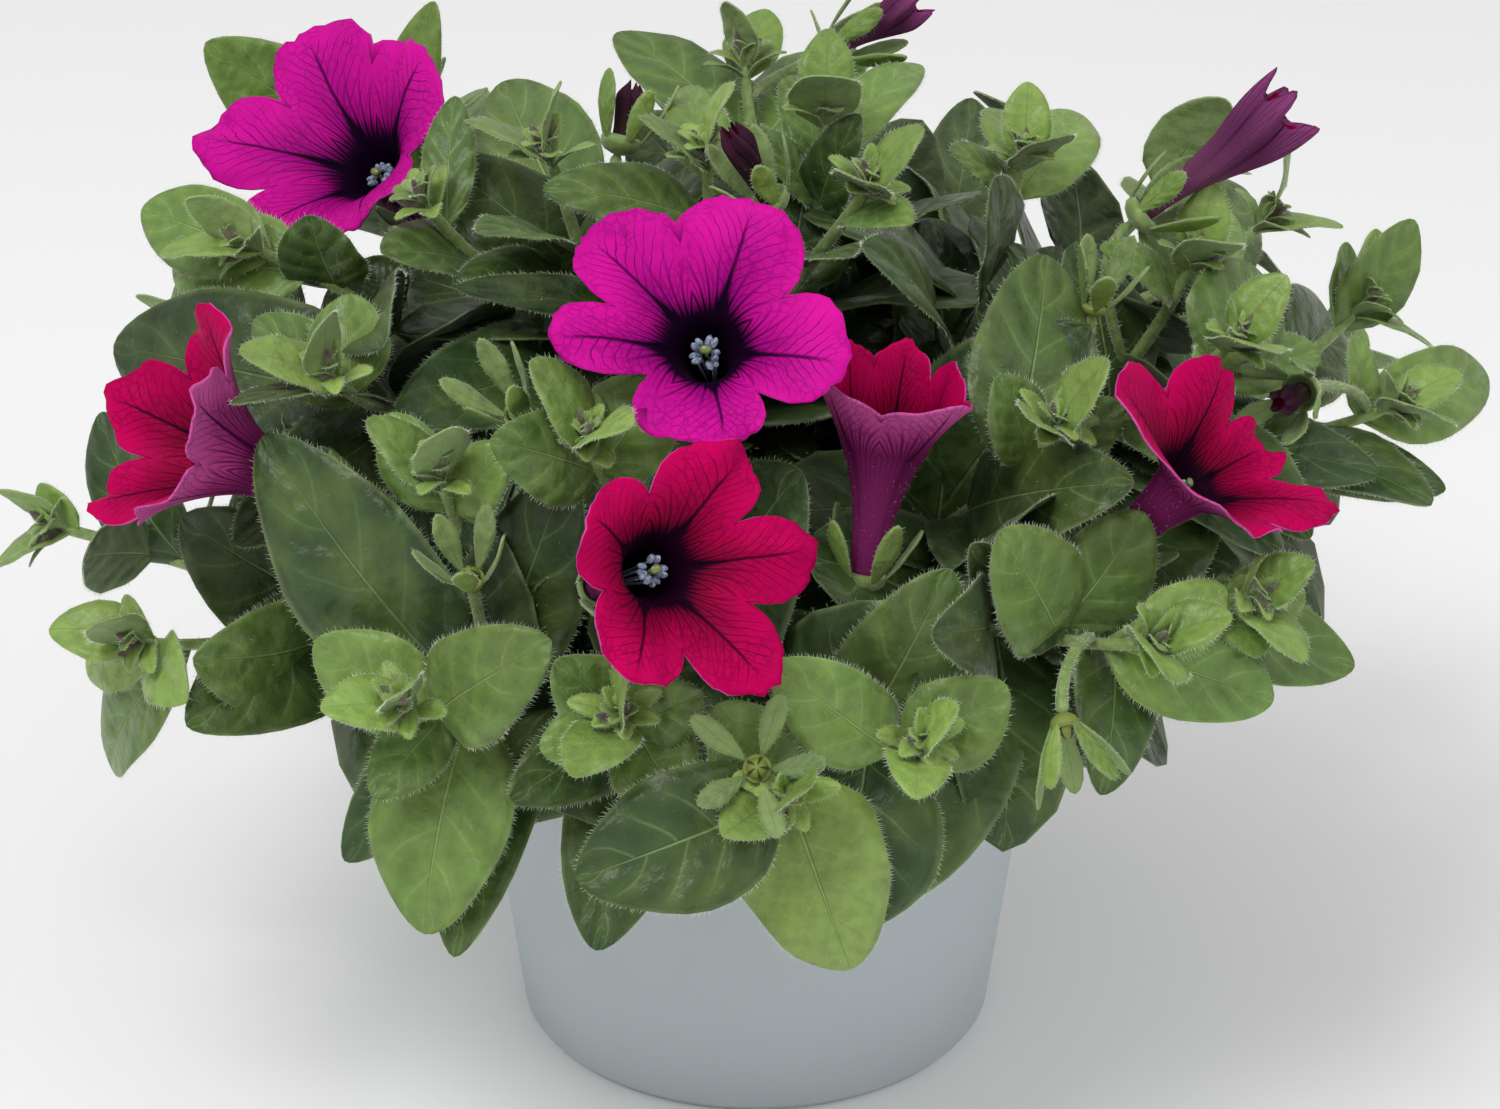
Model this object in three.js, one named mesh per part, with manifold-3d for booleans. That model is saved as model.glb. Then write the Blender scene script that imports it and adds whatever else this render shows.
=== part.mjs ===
// A petunia in flower in a plain tapered pot. Millimetres, +Z up, origin at the centre of the underside.
// Bearings are degrees anticlockwise seen from above: 0 is the right-hand side, 90 the back, 270 the front.
// The foliage forms a mound. A place on it is a bearing and a lift: lift 0 is level with its middle, and 90
// its top.
import * as THREE from "three";
import { mergeVertices } from "three/addons/utils/BufferGeometryUtils.js";
import Module from "manifold-3d";

const wasm = await Module();
wasm.setup();
const rad = THREE.MathUtils.degToRad;
const up = new THREE.Vector3(0, 0, 1);
const front = new THREE.Vector3(0, -1, 0);

// Driving dimensions
const pot = { rim: 60, foot: 48, height: 95, wall: 2.4, floor: 3, edge: 2, sides: 40 };
const soil = { below: 9, mound: 4, shoulder: 0.6, sides: 24 };
const mound = { right: 140, back: 130, up: 95, middle: new THREE.Vector3(0, 8, 100) };
const stem = { radius: 1.3, sides: 4, steps: 5, sunk: 9, inner: 5, outer: 31, upright: 88, splay: 26 };
const fork = { radius: 1.3, sides: 4, steps: 3, lowest: 0.42, apart: 0.12 };
const stalk = { radius: 0.9, sides: 3, steps: 3, reach: 28, lowest: 0.15 };
const blade = { thickness: 0.8, free: 4, raised: 0.5, turned: 0.6 };
const tube = { foot: 2.6, middle: 3.4, throat: 6, floor: 0.8 };
const petal = { thickness: 0.8, notch: 0.3, droop: 1.5, flare: 0.3, perLobe: 4 };
const furled = { folds: 5, depth: 0.3 };
const calyx = { radius: 3.8, floor: 0.8, notch: 2, sepals: 5, sepal: 13, spread: 24 };
const stamens = { below: 2, bundle: 0.8, anthers: 2.6, parted: 0.4, hollow: 0.88 };
const pistil = { radius: 0.4, stigma: 0.9, height: 4.8, sides: 5 };
const GAP = 0.3; // clearance between pieces that touch
const loose = 1.4 * GAP; // clearance between faceted walls that lie in one another

const soilTop = pot.height - soil.below;

// Colours
const looks = {
  pot: { color: 0xb4bcc2, roughness: 0.55 },
  soil: { color: 0x2e2219, roughness: 0.95 },
  green: { color: 0x4f7a3c, roughness: 0.6 },
  magenta: { color: 0xc4178c, roughness: 0.5 },
  crimson: { color: 0xc0085a, roughness: 0.5 },
  bud: { color: 0x4a2148, roughness: 0.6 },
  anther: { color: 0x8490ac, roughness: 0.7 },
  pistil: { color: 0x8a9a5a, roughness: 0.6 },
};

// Leafy stems. Each has a main shoot that rises from the soil, and the side shoots that fork from it.
// at: bearing and lift of a shoot's tip. aim: bearing and rise of its last stretch. turn: where its first
// leaf points. young and low: how many young and low leaves it has by the rule further down. leaves: its own
// large leaves, each with its distance back from the tip, the bearing and lift of its own tip, its width,
// for some how far the tip stands proud of the mound, and for a few how far its face turns to the front.
const stems = [
  {
    name: "front_left",
    shoots: [
      {
        at: [243, 14], aim: [243, 42], turn: 20, young: 2, low: 2,
        leaves: [
          [12, 234, 18, 18], [12, 254, 23, 20], [16, 241, 3, 13], [24, 244, -14, 27], [26, 220, 36, 29],
          [36, 238, -4, 17], [44, 246, -17, 19], [30, 251, 38, 23],
        ],
      },
      {
        at: [240, 37], aim: [240, 70], turn: 0, young: 2,
        leaves: [[9, 231, 41, 13], [9, 246, 41, 13], [26, 232, 30, 18]],
      },
    ],
  },
  {
    name: "front_middle",
    shoots: [
      {
        at: [260, 16], aim: [262, 42], turn: 60, young: 2, low: 1,
        leaves: [
          [8, 254, 12, 12], [12, 265, 7, 18], [14, 254, 22, 16], [10, 266, 19, 13], [30, 252, 6, 17],
          [40, 258, -12, 24],
        ],
      },
      {
        at: [253, 43], aim: [252, 55], turn: 0, young: 2,
        leaves: [[10, 238, 40, 21], [10, 260, 50, 19]],
      },
    ],
  },
  {
    name: "front_right",
    shoots: [
      {
        at: [272, 8], aim: [268, 25], turn: 30, young: 2,
        leaves: [[3, 257, -1, 25], [10, 277, -14, 22], [10, 267, 18, 17]],
      },
      {
        at: [282, 13], aim: [284, 42], turn: 45, young: 2,
        leaves: [[14, 271, 22, 17], [8, 289, 18, 17], [22, 276, -9, 32], [26, 286, 30, 22]],
      },
    ],
  },
  {
    name: "right_front",
    shoots: [
      {
        at: [302, 19], aim: [328, 20], turn: 10, young: 2, low: 1,
        leaves: [
          [22, 291, 33, 21], [25, 309, 34, 26], [12, 312, 9, 18], [5, 310, 22, 13], [45, 284, 1, 26],
          [40, 290, 30, 14], [52, 271, 24, 21],
        ],
      },
      {
        at: [313, 20], aim: [320, 20], turn: 70, young: 2,
        leaves: [[8, 318, 18, 12], [8, 310, 13, 12], [30, 297, 6, 18], [24, 322, 8, 18]],
      },
    ],
  },
  {
    name: "right_middle",
    shoots: [
      {
        at: [301, 42], aim: [301, 55], turn: 15, young: 2, low: 2,
        leaves: [
          [12, 309, 42, 13], [22, 320, 59, 24], [14, 297, 48, 14], [48, 291, 45, 25], [40, 312, 30, 22],
        ],
      },
    ],
  },
  {
    name: "right",
    shoots: [
      {
        at: [330, 43], aim: [330, 50], turn: 35, young: 2, low: 1,
        leaves: [
          [10, 346, 46, 21], [14, 343, 36, 12], [30, 321, 23, 21], [8, 317, 40, 11], [36, 335, 24, 20],
        ],
      },
      {
        at: [339, 51], aim: [340, 70], turn: 20, young: 2,
        leaves: [[10, 326, 57, 10], [8, 345, 57, 13], [8, 358, 49, 13]],
      },
    ],
  },
  {
    name: "far_right",
    shoots: [
      {
        at: [347, 26], aim: [352, 25], turn: 10, young: 2, low: 2,
        leaves: [[8, 350, 34, 10], [8, 1, 19, 18, 13], [30, 349, 14, 15], [34, 338, 12, 22]],
      },
      {
        at: [9, 28], aim: [5, 48], turn: 50, young: 2,
        leaves: [[8, 13, 33, 12, 5], [8, 11, 32, 16, 18], [30, 20, 22, 24]],
      },
    ],
  },
  {
    name: "top_right",
    shoots: [
      {
        at: [345, 68], aim: [350, 80], turn: 25, young: 2, low: 1,
        leaves: [
          [10, 19, 61, 16], [5, 9, 71, 10], [8, 332, 73, 10], [34, 325, 70, 22], [50, 288, 64, 21],
        ],
      },
      {
        at: [6, 44], aim: [8, 55], turn: 65, young: 2,
        leaves: [[8, 19, 42, 13, 8], [10, 3, 37, 11], [24, 25, 38, 22]],
      },
    ],
  },
  {
    name: "top_front",
    shoots: [
      {
        at: [251, 78], aim: [250, 80], turn: 30, young: 2, low: 2,
        leaves: [[6, 152, 84, 12], [16, 221, 68, 15], [40, 227, 55, 12], [34, 250, 60, 22]],
      },
      {
        at: [299, 72], aim: [310, 55], turn: 0, young: 2,
        leaves: [[10, 300, 66, 11], [24, 285, 63, 12]],
      },
    ],
  },
  {
    name: "top_back",
    shoots: [
      {
        at: [333, 84], aim: [0, 85], turn: 0, young: 2, low: 1,
        leaves: [[12, 64, 84, 11], [12, 47, 70, 11], [20, 269, 84, 12], [24, 352, 79, 12]],
      },
      {
        at: [95, 79], aim: [95, 78], turn: 45, young: 2,
        leaves: [[18, 70, 66, 22], [18, 120, 66, 20]],
      },
    ],
  },
  {
    name: "top_left",
    shoots: [
      {
        at: [205, 72], aim: [200, 75], turn: 75, young: 2, low: 2,
        leaves: [
          [22, 143, 63, 25], [24, 221, 61, 16], [30, 190, 64, 22], [50, 224, 42, 26, -16, 1],
          [36, 216, 58, 17, -10],
        ],
      },
      {
        at: [203, 61], aim: [198, 60], turn: 15, young: 0,
        leaves: [[8, 178, 67, 11, 2, 1.5], [20, 210, 55, 18]],
      },
    ],
  },
  {
    name: "left_top",
    shoots: [
      {
        at: [185, 45], aim: [185, 22], turn: 70, young: 2,
        leaves: [
          [14, 176, 36, 22, 2, 1.2], [6, 171, 37, 18, 10, 1.4], [34, 225, 47, 20], [20, 188, 52, 18, 0, 2],
          [34, 182, 47, 24, -18, 1],
        ],
      },
      {
        at: [221, 43], aim: [222, 60], turn: 30, young: 2,
        leaves: [
          [10, 213, 50, 18], [16, 204, 43, 14], [30, 183, 28, 32, 2, 1.2], [30, 224, 22, 10],
          [46, 211, 25, 26, -11, 1], [54, 218, 26, 24, -8, 1.4],
        ],
      },
    ],
  },
  {
    name: "left",
    shoots: [
      {
        at: [214, 9], aim: [216, 28], turn: 20, young: 2, low: 2,
        leaves: [
          [12, 202, -16, 17], [6, 205, 0, 13], [6, 222, 6, 13], [42, 222, 11, 25, 0, 2],
          [46, 222, 3, 24, 0, 1.6], [50, 214, 18, 27, -8, 1.6],
        ],
      },
      {
        at: [186, 6], aim: [188, 18], turn: 80, young: 2,
        leaves: [[5, 184, 10, 9, 4], [22, 202, 12, 16], [30, 186, 20, 22]],
      },
    ],
  },
  {
    name: "back_right",
    shoots: [
      { at: [40, 34], turn: 35, young: 7, low: 2 },
      { at: [28, 8], turn: 5, young: 7 },
    ],
  },
  {
    name: "back_middle",
    shoots: [
      { at: [82, 42], turn: 55, young: 7, low: 2 },
      { at: [68, 8], turn: 80, young: 7 },
      { at: [110, 14], turn: 40, young: 7 },
    ],
  },
  {
    name: "back_left",
    shoots: [
      {
        at: [131, 34], turn: 25, young: 7, low: 2,
        leaves: [[10, 150, 41, 26, 33, 3], [6, 134, 51, 14, 19, 2], [8, 129, 45, 10, 9]],
      },
      { at: [150, 10], turn: 60, young: 7 },
    ],
  },
];

// Leaves by the rule, in pairs from the tip back: distance from the tip, length, and angle from the stem.
const youngLeaves = [
  { back: 1, length: 15, spread: 24 },
  { back: 4, length: 19, spread: 42 },
  { back: 7, length: 24, spread: 54 },
  { back: 12, length: 33, spread: 64 },
  { back: 15, length: 36, spread: 70 },
  { back: 26, length: 45, spread: 80 },
  { back: 30, length: 47, spread: 86 },
];
const lowLeaves = [
  { back: 58, length: 52, spread: 62 },
  { back: 72, length: 52, spread: 74 },
];
const broad = 0.67; // width over length of a leaf by the rule

// Blooms. throat: bearing, reach and height of the top of the tube. facing: bearing and rise of the way it
// opens.
// lobes: for each of five, its angle round the axis, its reach from the axis, and its rise above the throat.
// swell: how far the limb bulges from straight, so a flat bloom has a steep throat.
const blooms = [
  {
    name: "bloom_back_left", stem: "left_top", color: "magenta",
    throat: [161, 79, 172], facing: [231, 44], tube: 24, swell: 0.8,
    lobes: [[66, 24, 14], [140, 31, 12], [192, 35, 12], [240, 24, 10], [315, 19, 14]],
  },
  {
    name: "bloom_centre", stem: "top_front", color: "magenta",
    throat: [263, 74, 177], facing: [265, 42], tube: 24, swell: 0.9,
    lobes: [[72, 26, 9], [140, 28, 9], [183, 26, 10], [286, 19, 7], [350, 25, 9]],
  },
  {
    name: "bloom_front", stem: "front_middle", color: "crimson",
    throat: [261, 113, 153], facing: [300, 30], tube: 24, swell: 0.7,
    lobes: [[42, 22, 9], [138, 17, 8], [234, 20, 8], [295, 25, 9], [352, 25, 10]],
  },
  {
    name: "bloom_left", stem: "left_top", color: "crimson",
    throat: [213, 110, 149], facing: [197, 31], tube: 24, swell: 0.4,
    lobes: [[40, 17, 20], [120, 23, 16], [193, 23, 21], [251, 22, 19], [321, 18, 18]],
  },
  {
    name: "bloom_upright", stem: "right_middle", color: "crimson",
    throat: [287, 77, 158], facing: [58, 75], tube: 24, swell: 0.1,
    lobes: [[70, 14, 14], [156, 16, 14], [224, 9, 16], [290, 11, 17], [350, 10, 15]],
  },
  {
    name: "bloom_right", stem: "right_front", color: "crimson",
    throat: [317, 105, 150], facing: [348, 47], tube: 24, swell: 0.4,
    lobes: [[31, 17, 16], [111, 25, 9], [219, 17, 9], [288, 23, 14], [334, 19, 10]],
  },
];

// Buds: foot and facing as above, length, and the thickest radius of the furled petals.
const buds = [
  { name: "bud_top", stem: "top_back", foot: [72, 52, 190], facing: [1, 30], length: 20, radius: 4.2 },
  { name: "bud_right", stem: "right", foot: [345, 74, 181], facing: [5, 37], length: 36, radius: 6.4 },
  { name: "bud_centre", stem: "top_front", foot: [275, 30, 188], facing: [200, 62], length: 18, radius: 3 },
];

// Calyces whose bloom has dropped: foot and facing as above.
const calyces = [
  { stem: "right", foot: [327, 74, 172], facing: [320, 75] },
  { stem: "front_middle", foot: [240, 85, 165], facing: [215, 55] },
  { stem: "front_left", foot: [241, 104, 141], facing: [255, 65] },
  { stem: "front_right", foot: [270, 120, 119], facing: [268, 35] },
  { stem: "right_front", foot: [296, 122, 122], facing: [290, -55] },
];

// A repeatable draw between -1 and 1 for a whole number.
function draw(seed) {
  const x = Math.sin(seed * 12.9898 + 4.1414) * 43758.5453;
  return 2 * (x - Math.floor(x)) - 1;
}

function place([bearing, reach, height]) {
  return new THREE.Vector3(reach * Math.cos(rad(bearing)), reach * Math.sin(rad(bearing)), height);
}

function heading([bearing, rise]) {
  return place([bearing, Math.cos(rad(rise)), Math.sin(rad(rise))]);
}

function onMound([bearing, lift], proud = 0) {
  const size = new THREE.Vector3(mound.right + proud, mound.back + proud, mound.up + proud);
  return heading([bearing, lift]).multiply(size).add(mound.middle);
}

// Solids
function solidOf(geometry) {
  const bare = geometry.clone();
  bare.deleteAttribute("normal");
  bare.deleteAttribute("uv");
  const merged = mergeVertices(bare, 1e-4);
  const index = merged.index.array;
  const triangles = [];
  for (let i = 0; i < index.length; i += 3) {
    const [a, b, c] = index.slice(i, i + 3);
    if (a !== b && b !== c && c !== a) triangles.push(a, b, c);
  }
  const vertices = merged.attributes.position.array;
  return new wasm.Manifold(
    new wasm.Mesh({ numProp: 3, vertProperties: vertices, triVerts: new Uint32Array(triangles) }),
  );
}

function geometryOf(solid) {
  const mesh = solid.getMesh();
  const geometry = new THREE.BufferGeometry();
  geometry.setAttribute("position", new THREE.BufferAttribute(mesh.vertProperties, 3));
  geometry.setIndex(new THREE.BufferAttribute(mesh.triVerts, 1));
  geometry.computeVertexNormals();
  return geometry;
}

// Solids that grow together, without any scrap that stays loose.
function join(solids) {
  const whole = solids.reduce((sum, solid) => sum.add(solid));
  return whole.decompose().reduce((best, body) => (body.volume() > best.volume() ? body : best));
}

// A frame whose x runs along a direction and whose z turns as far as it can to a side.
function frameAlong(origin, along, side) {
  const x = along.clone().normalize();
  const z = side.clone().addScaledVector(x, -side.dot(x)).normalize();
  const y = z.clone().cross(x);
  return new THREE.Matrix4().makeBasis(x, y, z).setPosition(origin);
}

// A frame whose z runs along a direction and whose x is level.
function frameFacing(origin, axis) {
  const x = up.clone().cross(axis).normalize();
  const y = axis.clone().cross(x);
  return new THREE.Matrix4().makeBasis(x, y, axis).setPosition(origin);
}

// A thin closed sheet over a grid of points, with its two faces split into triangles alike.
// point(row, column, side) gives a point, with side 1 for the upper face and -1 for the lower.
function sheetGeometry(rows, columns, wraps, point) {
  const corners = [];
  const triangle = (...points) => points.forEach((p) => corners.push(p.x, p.y, p.z));
  const quad = (a, b, c, d) => {
    triangle(a, b, c);
    triangle(a, c, d);
  };
  for (let r = 0; r < rows; r++) {
    for (let c = 0; c < columns; c++) {
      const face = (side) => [
        point(r, c, side), point(r + 1, c, side), point(r + 1, c + 1, side), point(r, c + 1, side),
      ];
      quad(...face(1));
      const [a, b, d, e] = face(-1);
      triangle(a, d, b);
      triangle(a, e, d);
    }
    if (!wraps) {
      quad(point(r, 0, -1), point(r + 1, 0, -1), point(r + 1, 0, 1), point(r, 0, 1));
      quad(point(r, columns, 1), point(r + 1, columns, 1), point(r + 1, columns, -1), point(r, columns, -1));
    }
  }
  for (let c = 0; c < columns; c++) {
    quad(point(0, c, 1), point(0, c + 1, 1), point(0, c + 1, -1), point(0, c, -1));
    quad(point(rows, c, -1), point(rows, c + 1, -1), point(rows, c + 1, 1), point(rows, c, 1));
  }
  return new THREE.BufferGeometry().setAttribute("position", new THREE.Float32BufferAttribute(corners, 3));
}

// A profile of [radius, height] points turned round z.
function turnedGeometry(profile, sides) {
  const points = profile.map(([r, z]) => new THREE.Vector2(r, z));
  return new THREE.LatheGeometry(points, sides).rotateX(Math.PI / 2);
}

// Leaf blades
// Half the width of a blade as a share of its widest, from foot to tip.
function halfWidth(u) {
  return Math.sin(Math.PI * u ** 0.85) ** 0.75;
}

// The rows of points across a blade: a longer one has more.
function rowsFor(chord) {
  if (chord < 16) return [0, 0.45, 1];
  return chord < 38 ? [0, 0.26, 0.66, 1] : [0, 0.18, 0.46, 0.78, 1];
}

// A blade whose foot is at the origin and whose tip is on x, arched up over its length.
function bladeGeometry({ chord, width, arch, margin = 0 }) {
  const rows = rowsFor(chord);
  const bend = rad(arch);
  const radius = (chord + 2 * margin) / (2 * Math.sin(bend / 2));
  return sheetGeometry(rows.length - 1, 1, false, (row, column, side) => {
    const u = rows[row];
    const pointed = u === 0 || u === 1;
    const half = pointed ? 0 : (width / 2) * halfWidth(u) + margin;
    const turn = bend * (u - 0.5);
    const out = radius + side * (blade.thickness / 2 + margin);
    return new THREE.Vector3(
      radius * Math.sin(bend / 2) - margin + out * Math.sin(turn),
      (2 * column - 1) * half,
      out * Math.cos(turn) - radius * Math.cos(bend / 2),
    );
  });
}

// Stems
function roundSolid(path, radius, { sides, steps }) {
  const section = new THREE.Shape();
  for (let i = 0; i < sides; i++) {
    const turn = (2 * Math.PI * i) / sides;
    section[i ? "lineTo" : "moveTo"](radius * Math.cos(turn), radius * Math.sin(turn));
  }
  return solidOf(new THREE.ExtrudeGeometry(section, { steps, bevelEnabled: false, extrudePath: path }));
}

// A path that leaves a start in one direction and reaches an end in another. The pulls say how far along each
// direction it keeps to it, as shares of the span.
function sweep(start, leave, end, arrive, leavePull, arrivePull) {
  const span = start.distanceTo(end);
  return new THREE.CubicBezierCurve3(
    start,
    start.clone().addScaledVector(leave, span * leavePull),
    end.clone().addScaledVector(arrive, -span * arrivePull),
    end,
  );
}

// Where its row doesn't say otherwise, a shoot's last stretch points out from the mound.
function aimOf({ at, aim }) {
  return heading(aim ?? [at[0], 8 + 0.85 * at[1]]);
}

// The path of a main shoot. deeper lengthens it at its foot, for the hole that it stands in.
function mainPath(shoot, deeper = 0) {
  const tip = onMound(shoot.at);
  const bearing = THREE.MathUtils.radToDeg(Math.atan2(tip.y, tip.x));
  const lean = Math.hypot(tip.x, tip.y) / mound.right;
  const leave = heading([bearing, stem.upright - stem.splay * lean]);
  const foot = place([bearing, stem.inner + (stem.outer - stem.inner) * lean, soilTop - stem.sunk]);
  return sweep(foot.addScaledVector(leave, -deeper), leave, tip, aimOf(shoot), 0.42, 0.3);
}

function sidePath(main, shoot, i) {
  const share = fork.lowest + fork.apart * i;
  return sweep(main.getPointAt(share), main.getTangentAt(share), onMound(shoot.at), aimOf(shoot), 0.35, 0.3);
}

// Corollas
// A point of a corolla's outside, in cylinder terms: t is 0 to 1 up the tube and 1 to 2 out along the limb.
function corollaPoint({ tube: length, lobes, swell }, lobe, between, t) {
  if (t <= 1) {
    const radius = tube.foot + (tube.middle - tube.foot) * t + (tube.throat - tube.middle) * t ** 3;
    return { radius, height: length * t };
  }
  const [, reach, rise] = lobes[lobe];
  const [, nextReach, nextRise] = lobes[(lobe + 1) % lobes.length];
  const blend = between * between * (3 - 2 * between);
  const off = 1 - Math.abs(2 * between - 1);
  const share = (t - 1) * (1 - petal.notch * off ** 4 * (t - 1));
  const out = reach + (nextReach - reach) * blend - tube.throat;
  const height = rise + (nextRise - rise) * blend;
  return {
    radius: tube.throat + out * share ** (1 + petal.flare * swell),
    height: length + height * (share + swell * share * (1 - share)) - petal.droop * share ** 2 * off,
  };
}

// The rows of a corolla by t: its foot, the foot's edge, the throat, the start of the lobes and their rim.
const corollaRows = [0, 0.001, 1, 1.35, 2];

// A corolla along +z with the foot of its tube at the origin, its upper face inside.
function corollaGeometry(bloom) {
  const lobes = bloom.lobes.length;
  const at = (row, lobe, between) => corollaPoint(bloom, lobe, between, corollaRows[row]);
  return sheetGeometry(corollaRows.length - 1, lobes * petal.perLobe, true, (row, column, side) => {
    const lobe = Math.floor(column / petal.perLobe) % lobes;
    const between = (column % petal.perLobe) / petal.perLobe;
    const start = bloom.lobes[lobe][0];
    const step = (bloom.lobes[(lobe + 1) % lobes][0] - start + 360) % 360;
    const angle = rad(start + between * step);
    if (row === 0) return new THREE.Vector3(0, 0, side > 0 ? tube.floor : 0);
    const here = at(row, lobe, between);
    if (side > 0) {
      const below = row > 1 ? at(row - 1, lobe, between) : { radius: here.radius, height: -1 };
      const above = row + 1 < corollaRows.length ? at(row + 1, lobe, between) : here;
      const slope = Math.atan2(above.height - below.height, above.radius - below.radius);
      here.radius -= petal.thickness * Math.sin(slope);
      here.height += row === 1 ? tube.floor : petal.thickness * Math.cos(slope);
    }
    return new THREE.Vector3(here.radius * Math.cos(angle), here.radius * Math.sin(angle), here.height);
  });
}

// A furled bud along +z: a tube, and folds that swell towards its end.
function budGeometry({ length, radius }) {
  const profile = [
    [0, 0], [tube.foot * 0.7, 0], [tube.foot * 0.8, length * 0.45],
    [radius, length * 0.75], [radius * 0.6, length * 0.95], [0, length],
  ];
  const geometry = turnedGeometry(profile, 2 * furled.folds);
  const position = geometry.attributes.position;
  for (let i = 0; i < position.count; i++) {
    const folded = Math.floor(i / profile.length) % 2;
    const pinch = 1 - furled.depth * folded * (position.getZ(i) / length);
    position.setXY(i, position.getX(i) * pinch, position.getY(i) * pinch);
  }
  return geometry;
}

// Calyx: a shallow cup under the corolla's foot whose edge runs out into sepals round the tube.
function calyxSolid(frame, seed) {
  const geometry = sheetGeometry(2, 2 * calyx.sepals, true, (row, column, side) => {
    const thick = side > 0 ? calyx.floor : 0;
    if (row === 0) return new THREE.Vector3(0, 0, thick - calyx.floor - GAP);
    const turn = (Math.PI * column) / calyx.sepals;
    let radius = calyx.radius - thick;
    let height = thick - calyx.floor - GAP;
    if (row === 2) {
      const sepal = column % (2 * calyx.sepals);
      const reach = sepal % 2 ? calyx.notch : calyx.sepal * (1 + 0.12 * draw(seed + sepal));
      const lean = rad(calyx.spread + 6 * draw(seed + sepal + 40));
      radius += reach * Math.sin(lean);
      height += reach * Math.cos(lean);
    }
    return new THREE.Vector3(radius * Math.cos(turn), radius * Math.sin(turn), height);
  });
  return solidOf(geometry.applyMatrix4(frame));
}

// The stamens: a slim bundle on the floor of the tube that opens into a star of anthers at its throat.
function stamenSolid(frame, length) {
  const profile = [
    [0, 0], [stamens.bundle, 0], [stamens.bundle, length * 0.7],
    [stamens.anthers, length], [0, length * stamens.hollow],
  ];
  const anther = 3;
  const geometry = turnedGeometry(profile, 2 * calyx.sepals);
  const position = geometry.attributes.position;
  for (let i = anther + profile.length; i < position.count; i += 2 * profile.length) {
    position.setXY(i, position.getX(i) * stamens.parted, position.getY(i) * stamens.parted);
  }
  return solidOf(geometry.translate(0, 0, tube.floor + GAP).applyMatrix4(frame));
}

// The pistil's end: a style with its stigma, in the middle of the anthers.
function pistilSolid(frame, length) {
  const { radius, stigma, height, sides } = pistil;
  const profile = [
    [0, 0], [radius, height * 0.3], [radius, height * 0.6], [stigma, height * 0.9], [0, height],
  ];
  const foot = tube.floor + 2.5 * GAP + stamens.hollow * length;
  return solidOf(turnedGeometry(profile, sides).translate(0, 0, foot).applyMatrix4(frame));
}

// Pot and soil
const wallRadius = (z) => pot.foot + ((pot.rim - pot.foot) * z) / pot.height;

function potSolid() {
  const profile = [
    [0, 0], [pot.foot - pot.edge, 0], [wallRadius(pot.edge), pot.edge], [pot.rim, pot.height],
    [pot.rim - pot.wall, pot.height], [wallRadius(pot.floor) - pot.wall, pot.floor], [0, pot.floor],
  ];
  return solidOf(turnedGeometry(profile, pot.sides));
}

function soilSolid(holes) {
  const inside = (z) => wallRadius(z) - pot.wall - loose;
  const bottom = pot.floor + GAP;
  const profile = [
    [0, bottom], [inside(bottom), bottom], [inside(soilTop), soilTop],
    [inside(soilTop) * soil.shoulder, soilTop + soil.mound * 0.7], [0, soilTop + soil.mound],
  ];
  return holes.reduce((rest, hole) => rest.subtract(hole), solidOf(turnedGeometry(profile, soil.sides)));
}

// The plant is put together piece by piece, and each leaf is bent clear of what other stems and blooms fill.
const potted = new THREE.Group();
const filled = [];

function fill(node, solid) {
  filled.push({ node, solid, box: solid.boundingBox() });
  return solid;
}

function crossesOthers(node, solid) {
  const box = solid.boundingBox();
  return filled
    .filter((other) => other.node !== node)
    .filter((other) => [0, 1, 2].every((i) => box.min[i] < other.box.max[i] && box.max[i] > other.box.min[i]))
    .some((other) => solid.intersect(other.solid).volume() > 0);
}

function addNode(name, solid, look) {
  const mesh = new THREE.Mesh(geometryOf(solid), new THREE.MeshStandardMaterial(looks[look]));
  mesh.name = name;
  potted.add(mesh);
}

addNode("pot", fill("pot", potSolid()), "pot");

const paths = new Map(); // for each stem, its main path and then its side paths
const grown = new Map(); // for each stem, the solids that join into it
const holes = [];
for (const { name, shoots } of stems) {
  const main = mainPath(shoots[0]);
  const sides = shoots.slice(1).map((shoot, i) => sidePath(main, shoot, i));
  paths.set(name, [main, ...sides]);
  grown.set(name, [fill(name, roundSolid(main, stem.radius, stem))]);
  sides.forEach((side) => grown.get(name).push(fill(name, roundSolid(side, fork.radius, fork))));
  holes.push(roundSolid(mainPath(shoots[0], loose), stem.radius + loose, stem));
}
addNode("soil", fill("soil", soilSolid(holes)), "soil");

// A flower's stalk leaves its stem at the point nearest to a little way behind the flower.
function stalkSolid(name, frame) {
  const axis = new THREE.Vector3().setFromMatrixColumn(frame, 2);
  const foot = new THREE.Vector3(0, 0, -GAP - calyx.floor / 2).applyMatrix4(frame);
  const behind = foot.clone().addScaledVector(axis, -stalk.reach);
  const samples = 40;
  const upper = (path) => path.getSpacedPoints(samples).slice(samples * stalk.lowest);
  const points = paths.get(name).flatMap(upper);
  const start = points.reduce((best, p) => (p.distanceTo(behind) < best.distanceTo(behind) ? p : best));
  return roundSolid(sweep(start, up, foot, axis, 0.2, 0.45), stalk.radius, stalk);
}

function addFlower(name, frame, seed) {
  grown.get(name).push(fill(name, stalkSolid(name, frame)), fill(name, calyxSolid(frame, seed)));
}

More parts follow.
